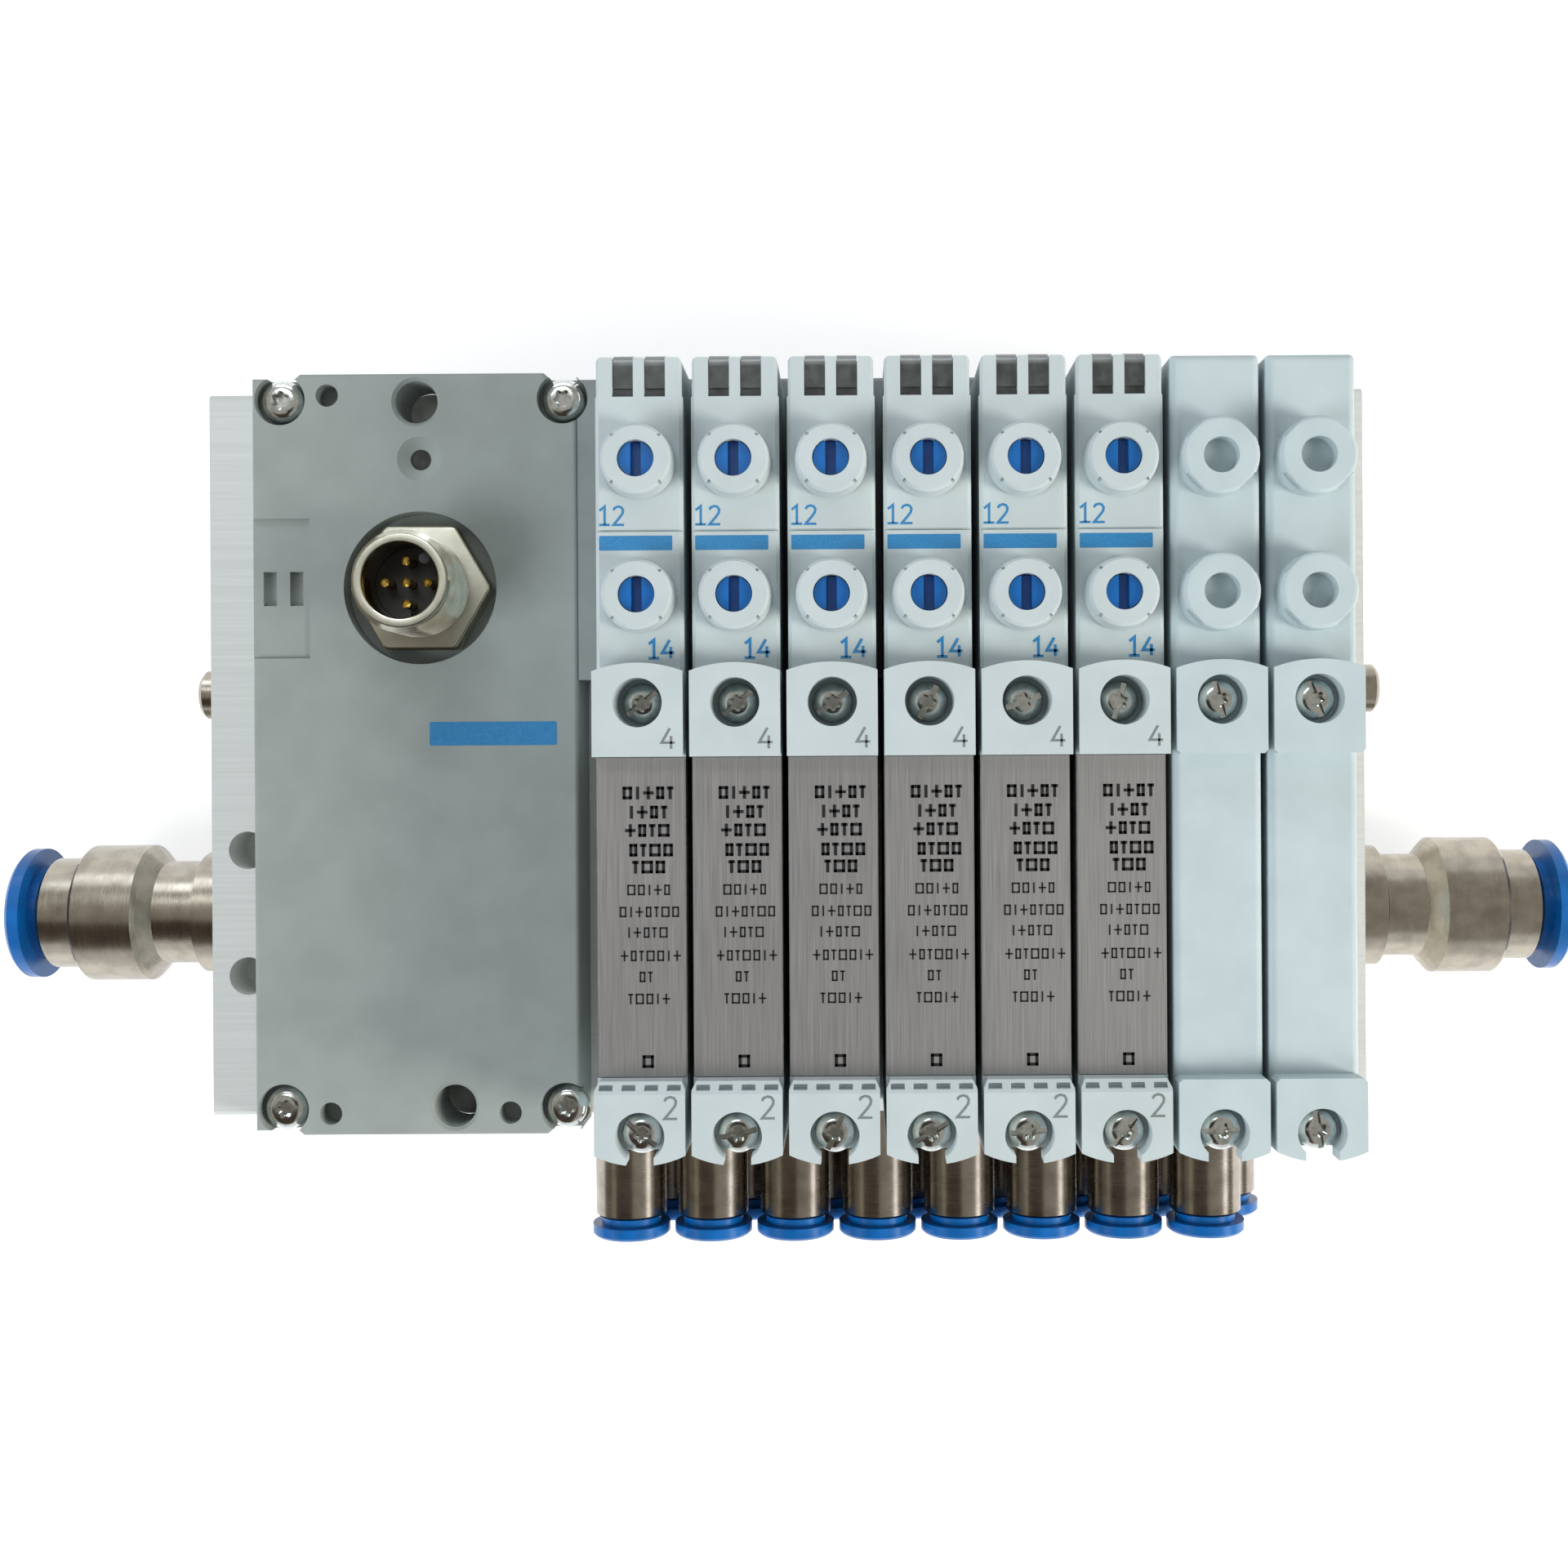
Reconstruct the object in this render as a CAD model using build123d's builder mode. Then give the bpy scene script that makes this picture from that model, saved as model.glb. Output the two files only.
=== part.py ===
"""Pneumatic valve island: eight 10 mm stations on an anodised manifold rail.

Six stations carry double-solenoid valves and two carry blanking plates. The number of stations
follows from the rail's length. An electronics housing with a five-pin round connector sits at
the left end of the rail. Sixteen push-in fittings serve the working ports and one larger
fitting feeds each end of the supply duct.

Frame: X runs along the row of stations, Y points from the working ports towards the
indicator lenses and Z points up. The origin is the centre of the rail's underside.
All lengths are millimetres.
"""
from build123d import *
import os

os.makedirs("parts", exist_ok=True)

# ---------------------------------------------------------------- driving dimensions
# Fits and running clearances
running_clearance = 0.1      # radial play of a piece that slides or turns in its bore
seat_clearance = 0.05        # radial play of a fixed piece in its hole
stop_clearance = 0.1         # space left at the end of a stroke

# Row of stations: as many as the rail holds, the last ones closed by blanking plates
station_pitch = 10.5
station_gap = 0.7            # space between two neighbouring stations
blank_count = 2
first_station_offset = 9.8   # housing to the centre of the first station
row_end_margin = 13.5        # least distance from the last station's centre to the rail's end
count_tolerance = 0.001      # share of a pitch that rounding may take

# Manifold rail
rail_length = 144.0
rail_depth = 90.0
rail_height = 24.0
rail_edge = 0.5
foot_groove_width = 7.0
foot_groove_depth = 1.2
foot_groove_spacing = 52.0
rear_slot_width = 3.0
rear_slot_depth = 1.5
rear_slot_height = 12.0

# Ducts and ports of the rail
supply_duct_y = -20.4
supply_duct_height = 14.0
supply_duct_bore = 8.0
pilot_duct_y = 7.8
pilot_duct_height = 16.0
pilot_duct_bore = 3.4
exhaust_bore = 4.7
exhaust_depth = 6.5
exhaust_inset = 4.45         # rail end to the exhaust holes
exhaust_places_y = (-11.9, -27.6)
upper_row_drop = 6.0         # rail top to the upper row of working ports
row_spacing = 10.0
upper_row_shift = -5.6       # port row against the station centre
lower_row_shift = -1.6

# Fixing holes, for M5 screws
fixing_bore = 5.1
fixing_chamfer = 0.4
fixing_inset = 4.2           # rail end to the right-hand pair
fixing_half_span = 42.4
rear_fixing_offset = 19.8    # housing's left side to its two fixing holes
front_fixing_offset = 24.0

# Electronics housing
housing_margin = 8.0         # bare strip of the rail left of the housing
housing_length = 39.2
housing_overhang = 0.85
housing_height = 8.1
housing_fillet = 0.6
corner_pad_left = 5.1        # set-back corners beside the screws
corner_pad_right = 3.45
corner_slant = 0.65          # slanted end of a set-back corner
corner_setback = 0.55
housing_screw_left = 3.4     # housing's left side to the left-hand screws
housing_screw_right = 1.8
housing_screw_half_span = 42.7
screw_pocket_bore = 6.1
screw_pocket_depth = 2.2
housing_screw_head = 5.3
housing_screw_head_height = 1.9
housing_screw_shank = 3.0
housing_screw_engagement = 5.0
pilot_hole_bore = 2.7
pilot_hole_depth = 3.0
pilot_hole_y = 43.2
pilot_hole_left = 9.1
pilot_hole_right = 30.7
label_width = 6.9
label_length = 16.8
label_depth = 0.5
label_centre_y = 20.0
label_slot_width = 1.6
label_slot_length = 4.1
label_slot_depth = 1.5
label_slot_spacing = 3.2
label_slot_inset = 2.0

# Round connector, M12 with five pins
connector_offset = 20.2      # housing's left side to the connector's axis
connector_y = 20.0
connector_thread = 12.0
connector_tip_chamfer = 0.7
connector_rise = 9.5         # above the housing
connector_bore = 8.84
connector_recess_bore = 18.4
connector_hex = 14.8
connector_hex_height = 3.0
connector_spigot_depth = 2.0
insert_drop = 6.0            # connector face to the insert's face
key_width = 1.2
key_height = 0.6
pin_circle = 5.0
pin_diameter = 1.0
pin_drop = 2.7               # connector face to the pin tips
pin_root_depth = 5.0

# Status light
light_y = 35.5
light_bore = 2.4
light_dish = 5.4
light_dish_depth = 0.8
light_depth = 3.0
light_drop = 0.2

# Electrical base under the pilot housings
base_height = 8.0
base_edge = 0.4

# Valve, from its front face towards the lenses
valve_front_y = -43.4
front_block_length = 7.9
body_length = 35.05
rear_block_length = 9.25
pilot_length = 34.4
pilot_inset = 0.1            # pilot housing against the valve's sides
block_height = 30.5          # rail top to the top of the end blocks
body_height = 27.2
pilot_top_height = 27.5
rear_crown_rise = 0.9        # bulge of an end block's top in plan
front_crown_rise = 1.1
front_trim = (0.45, 0.9)     # trimmed plan corners of the front block's top, across and along
blank_trim = (0.4, 0.4)
front_slope_length = 1.3     # slope of the front block's top towards the nameplate
front_slope_drop = 0.8
rear_screw_inset = 3.4       # pilot joint to the rear screws
front_screw_inset = 2.0      # front face to the front screws
valve_screw_pocket = 5.35
deep_pocket_depth = 5.6      # rear screws of the valves
shallow_pocket_depth = 3.2   # front screws, and both screws of a blanking plate
pocket_notch_width = 3.0     # opening of a front pocket to the front
valve_screw_head = 4.5
valve_screw_head_height = 1.7
valve_screw_shank = 3.0
valve_screw_engagement = 3.8
tapped_hole_spare = 0.5      # tapped holes are deeper than their screws by this
vent_slot_count = 4
vent_slot_length = 1.5
vent_slot_width = 0.6
vent_slot_depth = 1.2
vent_slot_pitch = 2.45
nameplate_thickness = 0.3
nameplate_margin = 0.1

# Pilot housing
pilot_seam_offset = 15.45    # rear block to the seam between the two pilot stages
pilot_seam_width = 0.25
pilot_seam_depth = 0.3
pilot_edge = 0.4
lens_end_inset = 0.12        # the lens end is a little narrower
lens_end_corner = 0.6
lens_width = 2.3
lens_spacing = 3.5
lens_length = 4.3
lens_depth = 2.6
lens_drop = 0.5              # pilot housing's top to the lens
lens_step_length = 0.95      # lower strip at the lens's inner end
lens_step_drop = 0.35
lens_bulge = 0.4
lens_clearance = 0.05
ring_top_diameter = 7.6
ring_base_diameter = 8.0
ring_height = 3.4
ring_chamfer = 0.3
ring_undercut_height = 0.25
ring_undercut_depth = 0.2
ring_notch_count = 4
ring_notch_angle = 45.0      # from the row's direction to the first notch or flat
ring_notch_width = 0.35
ring_notch_depth = 0.35
ring_notch_drop = 0.6
override_offsets = (8.25, 22.85)   # rear block to the two overrides
override_names = ("14", "12")

# Manual override
override_bore = 4.0
override_travel = 1.0
head_drop = 0.5
head_height = 3.0
head_slot_width = 1.15
head_slot_depth = 1.1
tappet_collar_height = 0.8
tappet_stem = 2.4
tappet_length = 6.0
pivot_diameter = 1.5
pivot_height = 1.0

# Blanking plate
blank_edge = 0.9             # rounding of the long top edges
blank_corner = 0.5
blank_notch_width = 3.6
blank_ring_diameter = 8.4
blank_ring_edge = 0.5
blank_ring_flat_count = 4
blank_ring_flat_width = 2.4
blank_ring_flat_depth = 0.3
blank_ring_flat_drop = 0.9
blank_ring_bore = 3.9
blank_ring_hole_depth = 2.2

# Push-in fitting of a working port, M7 with a 6 mm tube
port_thread = 7.0
port_thread_length = 5.5
port_hole_spare = 0.5
port_body_diameter = 9.0
port_body_length = 14.0
port_tube_bore = 6.1
port_collet_bore = 7.8
port_collet_depth = 6.0
port_seat_depth = 11.5
port_through_bore = 3.8
port_ring_diameter = 9.85
port_ring_height = 1.5
port_ring_gap = 1.0
port_ring_stem = 4.5
port_edge = 0.35

# Supply fitting, G1/8 with a 10 mm tube
supply_thread = 9.7
supply_thread_length = 6.5
supply_hole_spare = 0.5
supply_flange_diameter = 15.5
supply_flange_length = 3.7
supply_groove_length = 0.4
supply_groove_depth = 1.2
supply_neck_diameter = 13.2
supply_neck_length = 5.0
supply_taper_length = 1.4
supply_collar_diameter = 17.5
supply_collar_length = 8.5
supply_nose_diameter = 14.2
supply_nose_length = 4.8
supply_tube_bore = 10.1
supply_collet_bore = 12.2
supply_collet_depth = 7.0
supply_seat_depth = 17.0
supply_through_bore = 7.0
supply_ring_diameter = 16.7
supply_ring_height = 1.9
supply_ring_gap = 1.4
supply_ring_stem = 5.2
supply_edge = 0.5

# Plug screw of the pilot duct
plug_head_diameter = 6.2
plug_head_length = 3.6
plug_thread = 5.0
plug_thread_length = 5.0
plug_hex = 2.5
plug_hex_depth = 1.8
plug_edge = 0.5

# ---------------------------------------------------------------- places worked out
rail_left = -rail_length / 2
rail_right = rail_length / 2
rail_front = -rail_depth / 2
rail_back = rail_depth / 2
housing_left = rail_left + housing_margin
housing_right = housing_left + housing_length
first_station_x = housing_right + first_station_offset
row_space = rail_right - row_end_margin - first_station_x
station_count = int(row_space / station_pitch + count_tolerance) + 1
station_x = [first_station_x + station_pitch * n for n in range(station_count)]
valve_x = station_x[:-blank_count]
blank_x = station_x[-blank_count:]
valve_width = station_pitch - station_gap
pilot_width = valve_width - 2 * pilot_inset

body_front_y = valve_front_y + front_block_length
rear_block_y = body_front_y + body_length
pilot_front_y = rear_block_y + rear_block_length
pilot_back_y = pilot_front_y + pilot_length
rear_screw_y = pilot_front_y - rear_screw_inset
front_screw_y = valve_front_y + front_screw_inset
override_y = [pilot_front_y + offset for offset in override_offsets]
pilot_seam_y = pilot_front_y + pilot_seam_offset

housing_top = rail_height + housing_height
base_top = rail_height + base_height
pilot_top = rail_height + pilot_top_height
block_top = rail_height + block_height
body_top = rail_height + body_height
plate_height = body_height + nameplate_thickness
ring_top = pilot_top + ring_height

connector_x = housing_left + connector_offset
connector_face = housing_top + connector_rise
connector_floor = housing_top - connector_hex_height
spigot_floor = connector_floor - connector_spigot_depth

left_fixings = [
    (housing_left + rear_fixing_offset, fixing_half_span),
    (housing_left + front_fixing_offset, -fixing_half_span),
]
right_fixings = [(rail_right - fixing_inset, side * fixing_half_span) for side in (1, -1)]
housing_screws_xy = [
    (x, side * housing_screw_half_span)
    for x in (housing_left + housing_screw_left, housing_right - housing_screw_right)
    for side in (1, -1)
]
valve_screws_xy = [(x, y) for x in station_x for y in (rear_screw_y, front_screw_y)]
deep_screws_xy = [(x, rear_screw_y) for x in valve_x]
shallow_screws_xy = [place for place in valve_screws_xy if place not in deep_screws_xy]

upper_row_z = rail_height - upper_row_drop
lower_row_z = upper_row_z - row_spacing
port_places = {
    "upper": [(x + upper_row_shift, upper_row_z) for x in station_x],
    "lower": [(x + lower_row_shift, lower_row_z) for x in station_x],
}
all_ports = port_places["upper"] + port_places["lower"]
port_planes = [
    Plane(origin=(x, rail_front, z), x_dir=(1, 0, 0), z_dir=(0, -1, 0)) for x, z in all_ports
]
end_faces = ("left", "right")


def end_plane(side, y, z):
    """Return the plane on one end face of the rail, pointing outwards, at a place on it."""
    x = rail_left if side == "left" else rail_right
    direction = -1 if side == "left" else 1
    return Plane(origin=(x, y, z), x_dir=(0, 1, 0), z_dir=(direction, 0, 0))


# ---------------------------------------------------------------- manifold rail
# The extruded profile has two grooves in its underside and a slot in its back.
with BuildPart() as manifold_rail:
    with BuildSketch(Plane.YZ.offset(rail_left)):
        with Locations((0, rail_height / 2)):
            Rectangle(rail_depth, rail_height)
        with Locations((-foot_groove_spacing / 2, 0), (foot_groove_spacing / 2, 0)):
            Rectangle(foot_groove_width, 2 * foot_groove_depth, mode=Mode.SUBTRACT)
        with Locations((rail_back, rear_slot_height)):
            Rectangle(2 * rear_slot_depth, rear_slot_width, mode=Mode.SUBTRACT)
    extrude(amount=rail_length)
    chamfer(manifold_rail.edges().filter_by(Axis.X).group_by(Axis.Z)[-1], rail_edge)
    # Ducts along the rail, with their threaded ends
    with Locations(end_plane("right", supply_duct_y, supply_duct_height)):
        Hole(supply_duct_bore / 2, rail_length)
    with Locations(end_plane("right", pilot_duct_y, pilot_duct_height)):
        Hole(pilot_duct_bore / 2, rail_length)
    with Locations(*[end_plane(side, supply_duct_y, supply_duct_height) for side in end_faces]):
        Hole(supply_thread / 2 + seat_clearance, supply_thread_length + supply_hole_spare)
    with Locations(*[end_plane(side, pilot_duct_y, pilot_duct_height) for side in end_faces]):
        Hole(plug_thread / 2 + seat_clearance, plug_thread_length + tapped_hole_spare)
    # Working ports in the front face
    with Locations(*port_planes):
        Hole(port_thread / 2 + seat_clearance, port_thread_length + port_hole_spare)
    # Exhaust ports in the bare strip, fixing holes and tapped holes
    with Locations(*[(rail_left + exhaust_inset, y, rail_height) for y in exhaust_places_y]):
        Hole(exhaust_bore / 2, exhaust_depth)
    with Locations(*[(x, y, rail_height) for x, y in left_fixings + right_fixings]):
        Hole(fixing_bore / 2)
    with Locations(*[(x, y, rail_height) for x, y in valve_screws_xy]):
        Hole(valve_screw_shank / 2 + seat_clearance, valve_screw_engagement + tapped_hole_spare)
    with Locations(*[(x, y, rail_height) for x, y in housing_screws_xy]):
        Hole(housing_screw_shank / 2 + seat_clearance, housing_screw_engagement + tapped_hole_spare)
manifold_rail.part.label = "manifold_rail"
export_step(manifold_rail.part, "parts/manifold_rail.step")

# ---------------------------------------------------------------- electronics housing
# A moulded cover with set-back corner pads, a label recess open to its left side, a dished
# status light and a round recess for the connector's hexagon.
housing_depth = rail_depth + 2 * housing_overhang
housing_centre_x = (housing_left + housing_right) / 2
with BuildPart() as electronics_housing:
    with BuildSketch(Plane.XY.offset(rail_height)):
        with Locations((housing_centre_x, 0)):
            Rectangle(housing_length, housing_depth)
        for corner_x, pad_x, slant_x in (
            (housing_left, housing_left + corner_pad_left, corner_slant),
            (housing_right, housing_right - corner_pad_right, -corner_slant),
        ):
            for edge_y, pad_y in (
                (housing_depth / 2, housing_depth / 2 - corner_setback),
                (-housing_depth / 2, corner_setback - housing_depth / 2),
            ):
                with BuildLine():
                    Polyline((corner_x, edge_y), (corner_x, pad_y), (pad_x, pad_y),
                             (pad_x + slant_x, edge_y), close=True)
                make_face(mode=Mode.SUBTRACT)
    extrude(amount=housing_height)
    fillet(electronics_housing.edges().group_by(Axis.Z)[-1], housing_fillet)
    # Label recess and its two cut-outs
    with Locations((housing_left + label_width / 2, label_centre_y, housing_top)):
        Box(label_width, label_length, 2 * label_depth, mode=Mode.SUBTRACT)
    first_slot_x = housing_left + label_slot_inset
    with Locations(*[(first_slot_x + n * label_slot_spacing, label_centre_y, housing_top) for n in (0, 1)]):
        Box(label_slot_width, label_slot_length, 2 * label_slot_depth, mode=Mode.SUBTRACT)
    # Connector seat
    with Locations((connector_x, connector_y, housing_top)):
        Hole(connector_recess_bore / 2, connector_hex_height)
        Hole(connector_thread / 2 + seat_clearance, connector_hex_height + connector_spigot_depth)
    # Status light: a dish above the bore of its light pipe
    with Locations((connector_x, light_y, housing_top)):
        Hole(light_bore / 2 + seat_clearance, light_depth)
        Cone(
            light_bore / 2, light_dish / 2, light_dish_depth,
            align=(Align.CENTER, Align.CENTER, Align.MAX), mode=Mode.SUBTRACT,
        )
    # Screw pockets, fixing holes and moulding holes
    with Locations(*[(x, y, housing_top) for x, y in housing_screws_xy]):
        CounterBoreHole(
            housing_screw_shank / 2 + seat_clearance, screw_pocket_bore / 2, screw_pocket_depth
        )
    with Locations(*[(x, y, housing_top) for x, y in left_fixings]):
        Hole(fixing_bore / 2)
        Cone(
            fixing_bore / 2, fixing_bore / 2 + fixing_chamfer, fixing_chamfer,
            align=(Align.CENTER, Align.CENTER, Align.MAX), mode=Mode.SUBTRACT,
        )
    with Locations(
        (housing_left + pilot_hole_left, pilot_hole_y, housing_top),
        (housing_left + pilot_hole_left, -pilot_hole_y, housing_top),
        (housing_left + pilot_hole_right, -pilot_hole_y, housing_top),
    ):
        Hole(pilot_hole_bore / 2, pilot_hole_depth)
electronics_housing.part.label = "electronics_housing"
export_step(electronics_housing.part, "parts/electronics_housing.step")

# Pan-head screws of the housing
screw_seat_z = housing_top - screw_pocket_depth
with BuildPart() as housing_screws:
    with Locations(*[(x, y, screw_seat_z) for x, y in housing_screws_xy]):
        Cylinder(
            housing_screw_head / 2, housing_screw_head_height,
            align=(Align.CENTER, Align.CENTER, Align.MIN),
        )
    fillet(housing_screws.edges().group_by(Axis.Z)[-1], housing_screw_head_height / 3)
    with Locations(*[(x, y, screw_seat_z) for x, y in housing_screws_xy]):
        Cylinder(
            housing_screw_shank / 2, screw_seat_z - rail_height + housing_screw_engagement,
            align=(Align.CENTER, Align.CENTER, Align.MAX),
        )
housing_screws.part.label = "housing_screws"
export_step(housing_screws.part, "parts/housing_screws.step")

# ---------------------------------------------------------------- round connector
# The shell is turned from hexagon bar: a spigot, the hexagon and the threaded sleeve.
with BuildPart() as connector_shell:
    with BuildSketch(Plane.XY.offset(spigot_floor)):
        with Locations((connector_x, connector_y)):
            Circle(connector_thread / 2)
    extrude(amount=connector_face - spigot_floor)
    chamfer(connector_shell.edges().group_by(Axis.Z)[-1], connector_tip_chamfer)
    with BuildSketch(Plane.XY.offset(connector_floor)):
        with Locations((connector_x, connector_y)):
            RegularPolygon(connector_hex / 2, 6, major_radius=False)
    extrude(amount=connector_hex_height)
    with Locations((connector_x, connector_y, connector_face)):
        Hole(connector_bore / 2)
connector_shell.part.label = "connector_shell"
export_step(connector_shell.part, "parts/connector_shell.step")

# The insert holds the pins and stands on the floor of the housing's socket.
insert_top = connector_face - insert_drop
pin_top = connector_face - pin_drop
pin_root = insert_top - pin_root_depth
pin_centres = [(connector_x, connector_y)] + [
    (connector_x + x * pin_circle / 2, connector_y + y * pin_circle / 2)
    for x, y in ((1, 0), (0, 1), (-1, 0), (0, -1))
]
with BuildPart() as connector_insert:
    with BuildSketch(Plane.XY.offset(spigot_floor)):
        with Locations((connector_x, connector_y)):
            Circle(connector_bore / 2 - seat_clearance)
    extrude(amount=insert_top - spigot_floor)
    with Locations(*[(x, y, insert_top) for x, y in pin_centres]):
        Hole(pin_diameter / 2 + seat_clearance, pin_root_depth)
    key_y = connector_y - connector_bore / 2 + seat_clearance + key_height
    with Locations((connector_x, key_y, insert_top)):
        Box(key_width, key_height, insert_drop - pin_drop, align=(Align.CENTER, Align.CENTER, Align.MIN))
connector_insert.part.label = "connector_insert"
export_step(connector_insert.part, "parts/connector_insert.step")

with BuildPart() as connector_pins:
    with BuildSketch(Plane.XY.offset(pin_root)):
        with Locations(*pin_centres):
            Circle(pin_diameter / 2)
    extrude(amount=pin_top - pin_root)
    chamfer(connector_pins.edges().group_by(Axis.Z)[-1], pin_diameter / 4)
connector_pins.part.label = "connector_pins"
export_step(connector_pins.part, "parts/connector_pins.step")

# Light pipe of the status light, standing in its blind hole
with BuildPart() as status_light:
    with BuildSketch(Plane.XY.offset(housing_top - light_depth)):
        with Locations((connector_x, light_y)):
            Circle(light_bore / 2)
    extrude(amount=light_depth - light_dish_depth - light_drop)
status_light.part.label = "status_light"
export_step(status_light.part, "parts/status_light.step")

# ---------------------------------------------------------------- electrical base
# A long moulding that carries the contacts, under all eight pilot housings.
base_right = station_x[-1] + valve_width / 2
with BuildPart() as electrical_base:
    with BuildSketch(Plane.XY.offset(rail_height)):
        with Locations(((housing_right + base_right) / 2, (pilot_front_y + rail_back) / 2)):
            Rectangle(base_right - housing_right, rail_back - pilot_front_y)
    extrude(amount=base_height)
    chamfer(electrical_base.faces().sort_by(Axis.Z)[-1].edges().sort_by(Axis.Y)[-1], base_edge)
    # Relief for the heads of the housing's right-hand screws
    with Locations(*[(x, y, base_top) for x, y in housing_screws_xy]):
        Hole(screw_pocket_bore / 2, base_top - housing_top + screw_pocket_depth)
electrical_base.part.label = "electrical_base"
export_step(electrical_base.part, "parts/electrical_base.step")

# ---------------------------------------------------------------- valves
with BuildPart() as valve_bodies:
    with BuildSketch(Plane.XY.offset(rail_height)):
        with Locations(*[(x, body_front_y + body_length / 2) for x in valve_x]):
            Rectangle(valve_width, body_length)
    extrude(amount=body_height)
valve_bodies.part.label = "valve_bodies"
export_step(valve_bodies.part, "parts/valve_bodies.step")

with BuildPart() as nameplates:
    with BuildSketch(Plane.XY.offset(body_top)):
        with Locations(*[(x, body_front_y + body_length / 2) for x in valve_x]):
            Rectangle(valve_width - 2 * nameplate_margin, body_length - 2 * nameplate_margin)
    extrude(amount=nameplate_thickness)
nameplates.part.label = "nameplates"
export_step(nameplates.part, "parts/nameplates.step")

# End blocks. Each is a square block whose top part is crowned in plan: the rear one's crown
# stands over the pilot housing and the front one's over the working ports.
def block_plan(crowned_y, straight_y, trim):
    """Return the straight sides of a block's top in plan, with trimmed corners on one side."""
    half = valve_width / 2
    across, along = trim
    side_y = straight_y + (along if crowned_y > straight_y else -along)
    return [(-half, crowned_y), (-half, side_y), (across - half, straight_y),
            (half - across, straight_y), (half, side_y), (half, crowned_y)]


front_block_y = valve_front_y + front_block_length / 2
with BuildPart() as front_block:
    with BuildSketch(Plane.XY):
        with Locations((0, front_block_y)):
            Rectangle(valve_width, front_block_length)
    extrude(amount=plate_height)
    with BuildSketch(Plane.XY.offset(plate_height)):
        with BuildLine():
            Polyline(*block_plan(valve_front_y, body_front_y, front_trim))
            ThreePointArc((valve_width / 2, valve_front_y), (0, valve_front_y - front_crown_rise),
                          (-valve_width / 2, valve_front_y))
        make_face()
    extrude(amount=block_height - plate_height)
    with BuildSketch(Plane.YZ.offset(-valve_width / 2)):
        with BuildLine():
            Polyline((body_front_y - front_slope_length, block_height), (body_front_y, block_height),
                     (body_front_y, block_height - front_slope_drop), close=True)
        make_face()
    extrude(amount=valve_width, mode=Mode.SUBTRACT)
    with Locations((0, front_screw_y, block_height)):
        CounterBoreHole(
            valve_screw_shank / 2 + seat_clearance, valve_screw_pocket / 2, shallow_pocket_depth
        )
        Box(
            pocket_notch_width, front_screw_inset + front_crown_rise, 2 * shallow_pocket_depth,
            align=(Align.CENTER, Align.MAX, Align.CENTER), mode=Mode.SUBTRACT,
        )
    with Locations((0, body_front_y - front_slope_length / 2, block_height)):
        with GridLocations(vent_slot_pitch, 1, vent_slot_count, 1):
            Box(vent_slot_length, vent_slot_width, 2 * vent_slot_depth, mode=Mode.SUBTRACT)

rear_block_centre_y = (rear_block_y + pilot_front_y) / 2
with BuildPart() as rear_block:
    with BuildSketch(Plane.XY):
        with Locations((0, rear_block_centre_y)):
            Rectangle(valve_width, rear_block_length)
    extrude(amount=pilot_top_height)
    with BuildSketch(Plane.XY.offset(pilot_top_height)):
        with BuildLine():
            Polyline((-valve_width / 2, pilot_front_y), (-valve_width / 2, rear_block_y),
                     (valve_width / 2, rear_block_y), (valve_width / 2, pilot_front_y))
            ThreePointArc((valve_width / 2, pilot_front_y), (0, pilot_front_y + rear_crown_rise),
                          (-valve_width / 2, pilot_front_y))
        make_face()
    extrude(amount=block_height - pilot_top_height)
    with Locations((0, rear_screw_y, block_height)):
        CounterBoreHole(
            valve_screw_shank / 2 + seat_clearance, valve_screw_pocket / 2, deep_pocket_depth
        )

with BuildPart() as end_blocks:
    with Locations(*[(x, 0, rail_height) for x in valve_x]):
        add(front_block.part)
        add(rear_block.part)
end_blocks.part.label = "end_blocks"
export_step(end_blocks.part, "parts/end_blocks.step")

# Pilot housing of one valve: two stages with a seam between them, a tapered and undercut ring
# round each manual override and two lens pockets at the back.
head_seat_depth = head_drop + head_height
tappet_space_depth = head_seat_depth + tappet_collar_height + override_travel + stop_clearance
stem_space_depth = head_seat_depth + tappet_length + override_travel + stop_clearance
with BuildPart() as override_ring:
    with BuildSketch(Plane.XZ):
        with BuildLine():
            Polyline(
                (0, 0), (ring_base_diameter / 2 - ring_undercut_depth, 0),
                (ring_base_diameter / 2 - ring_undercut_depth, ring_undercut_height),
                (ring_base_diameter / 2, ring_undercut_height),
                (ring_top_diameter / 2, ring_height - ring_chamfer),
                (ring_top_diameter / 2 - ring_chamfer, ring_height), (0, ring_height), close=True,
            )
        make_face()
    revolve(axis=Axis.Z)
    with PolarLocations(ring_top_diameter / 2, ring_notch_count, ring_notch_angle):
        with Locations((0, 0, ring_height)):
            Box(2 * ring_notch_depth, ring_notch_width, 2 * ring_notch_drop, mode=Mode.SUBTRACT)

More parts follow.
